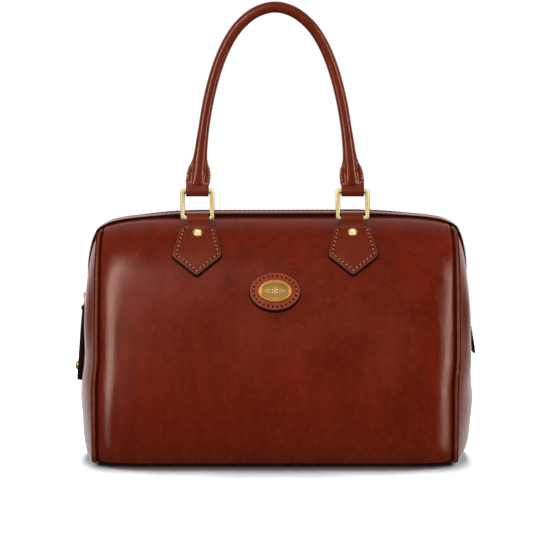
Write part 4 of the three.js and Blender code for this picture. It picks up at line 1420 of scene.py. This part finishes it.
def make_pull():
    half = PULL_LEATHER / 2
    corners = both_sides(PULL_CORNERS)

    def outline(inset):
        return rounded_outline(corners, inset, per_corner=6, per_side=8)

    levels = [(inset, drop - half) for inset, drop in PULL_EDGE] + list(PULL_JOINT)
    levels += [(inset, half - drop) for inset, drop in reversed(PULL_EDGE)]
    finishes = ["leather_trim"] * 2 + ["cut_edge"] * 6 + ["leather_trim"] * 3
    shape = plate(outline, levels, pull_place, finishes, inner_shares=(0.6, 0.3))
    line = outline(PULL_STITCH_INSET)
    line = line[np.argsort(line[:, 1])]
    low, high = PULL_STITCH_ROWS
    for height_sign in (-1, 1):
        for side in (-1, 1):
            edge = line[(side * line[:, 0] > PULL_STITCH_OUT) & (line[:, 1] > low) & (line[:, 1] < high)]
            shape.join(stitch_seam("pull", edge, on_pull(height_sign * (half - STITCH_LOW))))
    shape.join(pull_eye())
    mesh_object("zip_pull_leather", shape, "leather_trim", ["zip_pull"])
    link = wire_frame(LINK_WIDTH, LINK_HEIGHT, LINK_WIRE, LINK_CORNERS, 12, 2)
    link = link.moved(lambda points: link_place(points - UP * LINK_HEIGHT))
    mesh_object("zip_pull_link_wire", link, "brass", ["zip_pull_link"])
    rivet = lathe(np.array(PULL_RIVET_HEAD) + (0, half), 32, "brass")
    rivet.join(lathe(np.array(PULL_RIVET_CAP) - (0, half), 32, "brass"))
    rivet = rivet.moved(lambda points: pull_place(points + BACKWARD * PULL_RIVET_ALONG))
    mesh_object("zip_pull_rivet_dome", rivet, "brass", ["zip_pull_rivet"])


def make_slider():
    """The slider keeps its own solid, with softened edges."""
    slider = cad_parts["zip_slider"]
    slider.data.materials.clear()
    slider.data.materials.append(MATERIALS["brass"])
    bevel = slider.modifiers.new("soft_edges", "BEVEL")
    bevel.width = SLIDER_BEVEL * MM
    bevel.segments = 3
    LIT_ALONE["brass"].append(slider)


def make_end_tab():
    rows = END_TAB_ROWS * (-1, 1, 1) + (0, GAP + END_TAB_LEATHER, 0)
    line = smooth_line(rows[::-1], 60)
    path, halves = line[:, :2], line[:, 2]
    heading = unit(np.gradient(path, axis=0))
    place = zip_end_place(1, END_TAB_HEIGHT)
    guide = np.column_stack([path, -heading[:, 1], heading[:, 0]])
    count = np.arange(len(line))

    def surface(points):
        """Sets (across, row of the line) points on the tab's outer face."""
        spot = np.stack([np.interp(points[:, 1], count, column) for column in guide.T], axis=-1)
        normals = place(np.insert(spot[:, 2:], 0, 0, axis=1)) - place(np.zeros((1, 3)))
        return place(np.column_stack([points[:, 0], spot[:, :2]])), normals

    shape = bent_strap(path, halves, END_TAB_LEATHER, place)
    for side in (-1, 1):
        seam = np.column_stack([side * (halves - END_TAB_STITCH_INSET), count])[5:-2]
        shape.join(stitch_seam("end_tab", seam, surface))
    mesh_object("zip_end_tab_leather", shape, "leather_trim", ["zip_end_tab"])


# Badge

BADGE_RISE = 140.5
BADGE_SIZE = (40.0, 30.0)
BADGE_LEATHER = 2.2
BADGE_HOLE_INSET = 2.5
PLATE_SIZE = (27.2, 17.8)
PLATE_FIELD = 0.75
# The plate's raised rim, from its underside inward: the inset and height
PLATE_RIM = (
    (0.25, 0.0), (0.0, 0.3), (0.05, 1.0), (0.3, 1.35), (0.7, 1.5), (1.75, 1.45), (2.05, 1.3), (2.2, 1.05),
    (2.35, 1.35), (2.65, 1.48), (2.95, 1.35), (3.1, 1.0),
)
PLATE_FIELD_INSET = 3.25
BEAD_PROFILE = ((0, -0.2), (1, -0.2), (0.98, 0.15), (0.86, 0.45), (0.66, 0.72), (0.36, 0.92), (0, 1.0))
# Beads of the ornament: length, width and height
ROSE_MIDDLE = (1.0, 1.0, 0.75)
ROSE_PETAL = (1.05, 0.72, 0.6)
LEAF = (1.0, 0.42, 0.5)
LEAF_TIP = (0.8, 0.4, 0.5)
PETAL_REACH = 2.0
LEAF_PLACES = ((3.9, 0.95), (5.4, 0.9), (6.8, 0.7))
LEAF_LEAN = 34
LEAF_TIP_PLACE = 8.2


def make_badge_patch():
    outline = oval_outline(*BADGE_SIZE)
    levels, finishes = leather_levels(BADGE_LEATHER, BADGE_HOLE_INSET, "patch")
    shape = plate(outline, levels, points_on(on_panel(0, BADGE_RISE, 0)), finishes)
    ring = outline(BADGE_HOLE_INSET)
    surface = on_panel(0, BADGE_RISE, BADGE_LEATHER - STITCH_LOW)
    shape.join(stitch_seam("badge", np.vstack([ring, ring[:1]]), surface))
    mesh_object("badge_patch_leather", shape, "leather_trim", ["badge_patch"])


def bead(centre, size, turn):
    """A small raised oval on the badge's field, as a shape in the badge's own (across, along, height)."""
    cosine, sine = math.cos(math.radians(turn)), math.sin(math.radians(turn))

    def place(points):
        x, y, height = (points * size).T
        across = centre[0] + x * cosine - y * sine
        upward = centre[1] + x * sine + y * cosine
        return np.column_stack([across, upward, PLATE_FIELD + height])

    return lathe(BEAD_PROFILE, 14, "satin_brass").moved(place)


def ornament():
    """A plain rosette between two leaf sprays."""
    shape = bead((0, 0), ROSE_MIDDLE, 0)
    for turn in range(30, 390, 60):
        angle = math.radians(turn)
        shape.join(bead((PETAL_REACH * math.cos(angle), PETAL_REACH * math.sin(angle)), ROSE_PETAL, turn))
    for side in (-1, 1):
        for out, apart in LEAF_PLACES:
            for upward in (-1, 1):
                lean = 90 - side * 90 + side * upward * LEAF_LEAN
                shape.join(bead((side * out, upward * apart), LEAF, lean))
        shape.join(bead((side * LEAF_TIP_PLACE, 0), LEAF_TIP, 0))
    return shape


def make_badge_plate():
    levels = [*PLATE_RIM, (PLATE_FIELD_INSET, PLATE_FIELD)]
    finishes = ["gilt"] * len(PLATE_RIM) + ["brass_field"]
    place = points_on(on_panel(0, BADGE_RISE, BADGE_LEATHER))
    outline = oval_outline(*PLATE_SIZE)
    shape = plate(outline, levels, place, finishes, inner_shares=(0.85, 0.7, 0.55, 0.4, 0.2))
    shape.join(ornament().moved(place))
    mesh_object("badge_plate_brass", shape, "brass", ["badge_plate"])


# Stage

CAMERA_DISTANCE = 2400.0
CAMERA_ELEVATION = 5.0
CAMERA_TARGET_HEIGHT = 149.0
CAMERA_LENS = 190.7
FLOOR_SIZE = 3000.0
FLOOR_FADE = (0.55, 1.0)  # metres from the bag
FLOOR_COLOURS = ((240, 247, 248), (243, 250, 251))
BACKDROP_STRENGTH = 1.05
WORLD_COLOUR = (1.0, 0.98, 0.96, 1.0)
# The world's light is a sum of products. Each factor changes along an axis of the direction: from, to, and
# its values there. The first shines from the floor, the second from the sky and the third from behind
WORLD_LIGHT = (
    (("Z", -0.15, 0.02, 0.17, 0.06),),
    (("Y", -0.45, 0.35, 0.0, 0.44), ("Z", 0.2, 0.6, 0.0, 1.0)),
    (
        ("Y", 0.28, 0.8, 0.0, 1.6), ("Y", 0.75, 1.0, 1.0, 0.5),
        ("Z", -0.4, -0.1, 0.0, 1.0), ("Z", 0.3, 0.7, 1.0, 0.15),
    ),
)
# Softboxes: place, the point that each faces, width, height, watts, whether it shows in gloss or only
# lights, and what it lights
SOFTBOXES = {
    "left_strip": ((-1150, -1120, 680), (-60, 0, 130), 130, 1800, 18, True, "bag"),
    "left_panel": ((-430, -1250, 1150), (-60, 0, 130), 560, 500, 1.5, True, "bag"),
    "left_sheen": ((-697, -1576, 560), (-60, 0, 130), 500, 1300, 1.5, True, "bag"),
    "right_strip": ((1560, -960, 440), (60, 0, 120), 70, 1600, 14, True, "bag"),
    "top_sheen": ((0, -1000, 1750), (0, 0, 150), 2400, 900, 1.2, True, "bag"),
    "front_fill": ((0, -2650, 1100), (0, 0, 110), 2400, 1600, 65, False, "bag"),
    "back_fill": ((0, 2600, 1300), (0, 0, 110), 2400, 1600, 50, False, "bag"),
    "left_fill": ((-2600, -300, 900), (-150, 0, 110), 1600, 1600, 34, False, "bag"),
    "right_fill": ((2600, -300, 900), (150, 0, 110), 1600, 1600, 34, False, "bag"),
    "handle_left": ((-1330, -1200, 600), (0, -30, 260), 130, 1700, 6, True, "handles"),
    "handle_right": ((1330, -1150, 600), (0, -30, 260), 110, 1700, 5, True, "handles"),
    "brass_left": ((-1150, -1700, 850), (0, 0, 200), 1500, 1700, 19, True, "brass"),
    "brass_right": ((1150, -1700, 850), (0, 0, 200), 1500, 1700, 19, True, "brass"),
    "brass_front": ((0, -2200, 700), (0, 0, 200), 900, 1700, 4.0, True, "brass"),
    "brass_top": ((0, -500, 1900), (0, -60, 200), 1700, 1100, 12, True, "brass"),
    "floor_left": ((-240, 835, 1700), (-240, 834, 0), 300, 1400, 50, False, "floor"),
    "floor_right": ((240, 835, 1700), (240, 834, 0), 300, 1400, 50, False, "floor"),
    "floor_far_left": ((-1500, 1000, 800), (-150, 0, 0), 600, 600, 16, False, "floor"),
    "floor_far_right": ((1500, 1000, 800), (150, 0, 0), 600, 600, 16, False, "floor"),
}
SOFTBOX_LEAN = {"left_strip": -20, "left_sheen": -16, "right_strip": 6}  # degrees about the way that it faces


def make_camera():
    elevation = math.radians(CAMERA_ELEVATION)
    camera = bpy.data.objects.new("camera", bpy.data.cameras.new("camera"))
    camera.data.sensor_width = 36
    camera.data.lens = CAMERA_LENS
    camera.data.clip_end = 100
    back = Vector((0, -math.cos(elevation), math.sin(elevation)))
    camera.location = (Vector((0, 0, CAMERA_TARGET_HEIGHT)) + back * CAMERA_DISTANCE) * MM
    camera.rotation_euler = (-back).to_track_quat("-Z", "Y").to_euler()
    bpy.context.scene.collection.objects.link(camera)
    bpy.context.scene.camera = camera


def make_world():
    """White behind the bag for the camera. On everything else it shines from the back and sides."""
    world = bpy.data.worlds.new("studio")
    bpy.context.scene.world = world
    nodes = Nodes(world, "Generated")
    strength = 0.0
    for product in WORLD_LIGHT:
        term = 1.0
        for axis, *numbers in product:
            term = nodes.calculate("MULTIPLY", term, nodes.remap(nodes.part(axis), *numbers, smooth=True))
        strength = nodes.calculate("ADD", strength, term)
    light = nodes.add("Background", "Background", {"Color": WORLD_COLOUR, "Strength": strength})
    white = nodes.add("Background", "Background", {"Color": (1, 1, 1, 1), "Strength": BACKDROP_STRENGTH})
    seen = nodes.add("LightPath", "Is Camera Ray", {})
    mixed = nodes.add("MixShader", "Shader", {"Fac": seen, 1: light, 2: white})
    nodes.plug(nodes.tree.nodes["World Output"].inputs["Surface"], mixed)


def make_floor():
    half = FLOOR_SIZE / 2 * MM
    mesh = bpy.data.meshes.new("floor")
    corners = [(-half, -half, 0), (half, -half, 0), (half, half, 0), (-half, half, 0)]
    mesh.from_pydata(corners, [], [(0, 1, 2, 3)])
    nodes = new_nodes("floor")
    tone = nodes.blend(nodes.noise(0.8, detail=2), *(colour(*values) for values in FLOOR_COLOURS))
    distance = nodes.add("VectorMath", "Value", {0: nodes.place}, operation="LENGTH")
    shown = nodes.remap(distance, *FLOOR_FADE, 1, 0, smooth=True)
    mesh.materials.append(nodes.set(Base_Color=tone, Roughness=1.0, Specular_IOR_Level=0.0, Alpha=shown))
    floor = bpy.data.objects.new("floor", mesh)
    floor.visible_glossy = False
    floor.visible_diffuse = False
    floor.visible_shadow = False
    bpy.context.scene.collection.objects.link(floor)
    return floor


def receivers(name, pieces, state):
    """A collection that lets a light reach some pieces alone, or all but them."""
    group = bpy.data.collections.new(name)
    for piece in pieces:
        group.objects.link(piece)
    for member in group.collection_objects:
        member.light_linking.link_state = state
    return group


def make_lights(floor):
    groups = {
        "bag": receivers("all_leather", [floor, *LIT_ALONE["brass"]], "EXCLUDE"),
        "floor": receivers("floor_alone", [floor], "INCLUDE"),
    }
    for name, pieces in LIT_ALONE.items():
        groups[name] = receivers(name + "_alone", pieces, "INCLUDE")
    for name, (place, target, width, height, power, glossy, lit) in SOFTBOXES.items():
        light = bpy.data.lights.new(name, "AREA")
        light.shape = "RECTANGLE"
        light.size = width * MM
        light.size_y = height * MM
        light.energy = power
        softbox = bpy.data.objects.new(name, light)
        softbox.location = Vector(place) * MM
        aim = Vector(target) - Vector(place)
        lean = Quaternion((0, 0, 1), math.radians(SOFTBOX_LEAN.get(name, 0)))
        softbox.rotation_euler = (aim.to_track_quat("-Z", "Y") @ lean).to_euler()
        softbox.visible_glossy = glossy
        softbox.visible_diffuse = not glossy
        softbox.light_linking.receiver_collection = groups[lit]
        bpy.context.scene.collection.objects.link(softbox)


# Assembly

bpy.context.scene.view_settings.view_transform = "Standard"
make_camera()
make_world()
floor = make_floor()
make_panels()
for end_name, end_side in ENDS.items():
    make_gusset(end_name, end_side)
make_base()
for end_name, end_side in ENDS.items():
    make_piping(end_name, end_side)
make_zip_strips()
make_zip_tape()
make_zip_teeth()
make_slider()
make_pull()
make_end_tab()
make_badge_patch()
make_badge_plate()
for face in ("front", "back"):
    for end_name, end_side in ENDS.items():
        make_tab(face, end_name, end_side)
    make_rings(face)
    make_handle(face)
make_lights(floor)
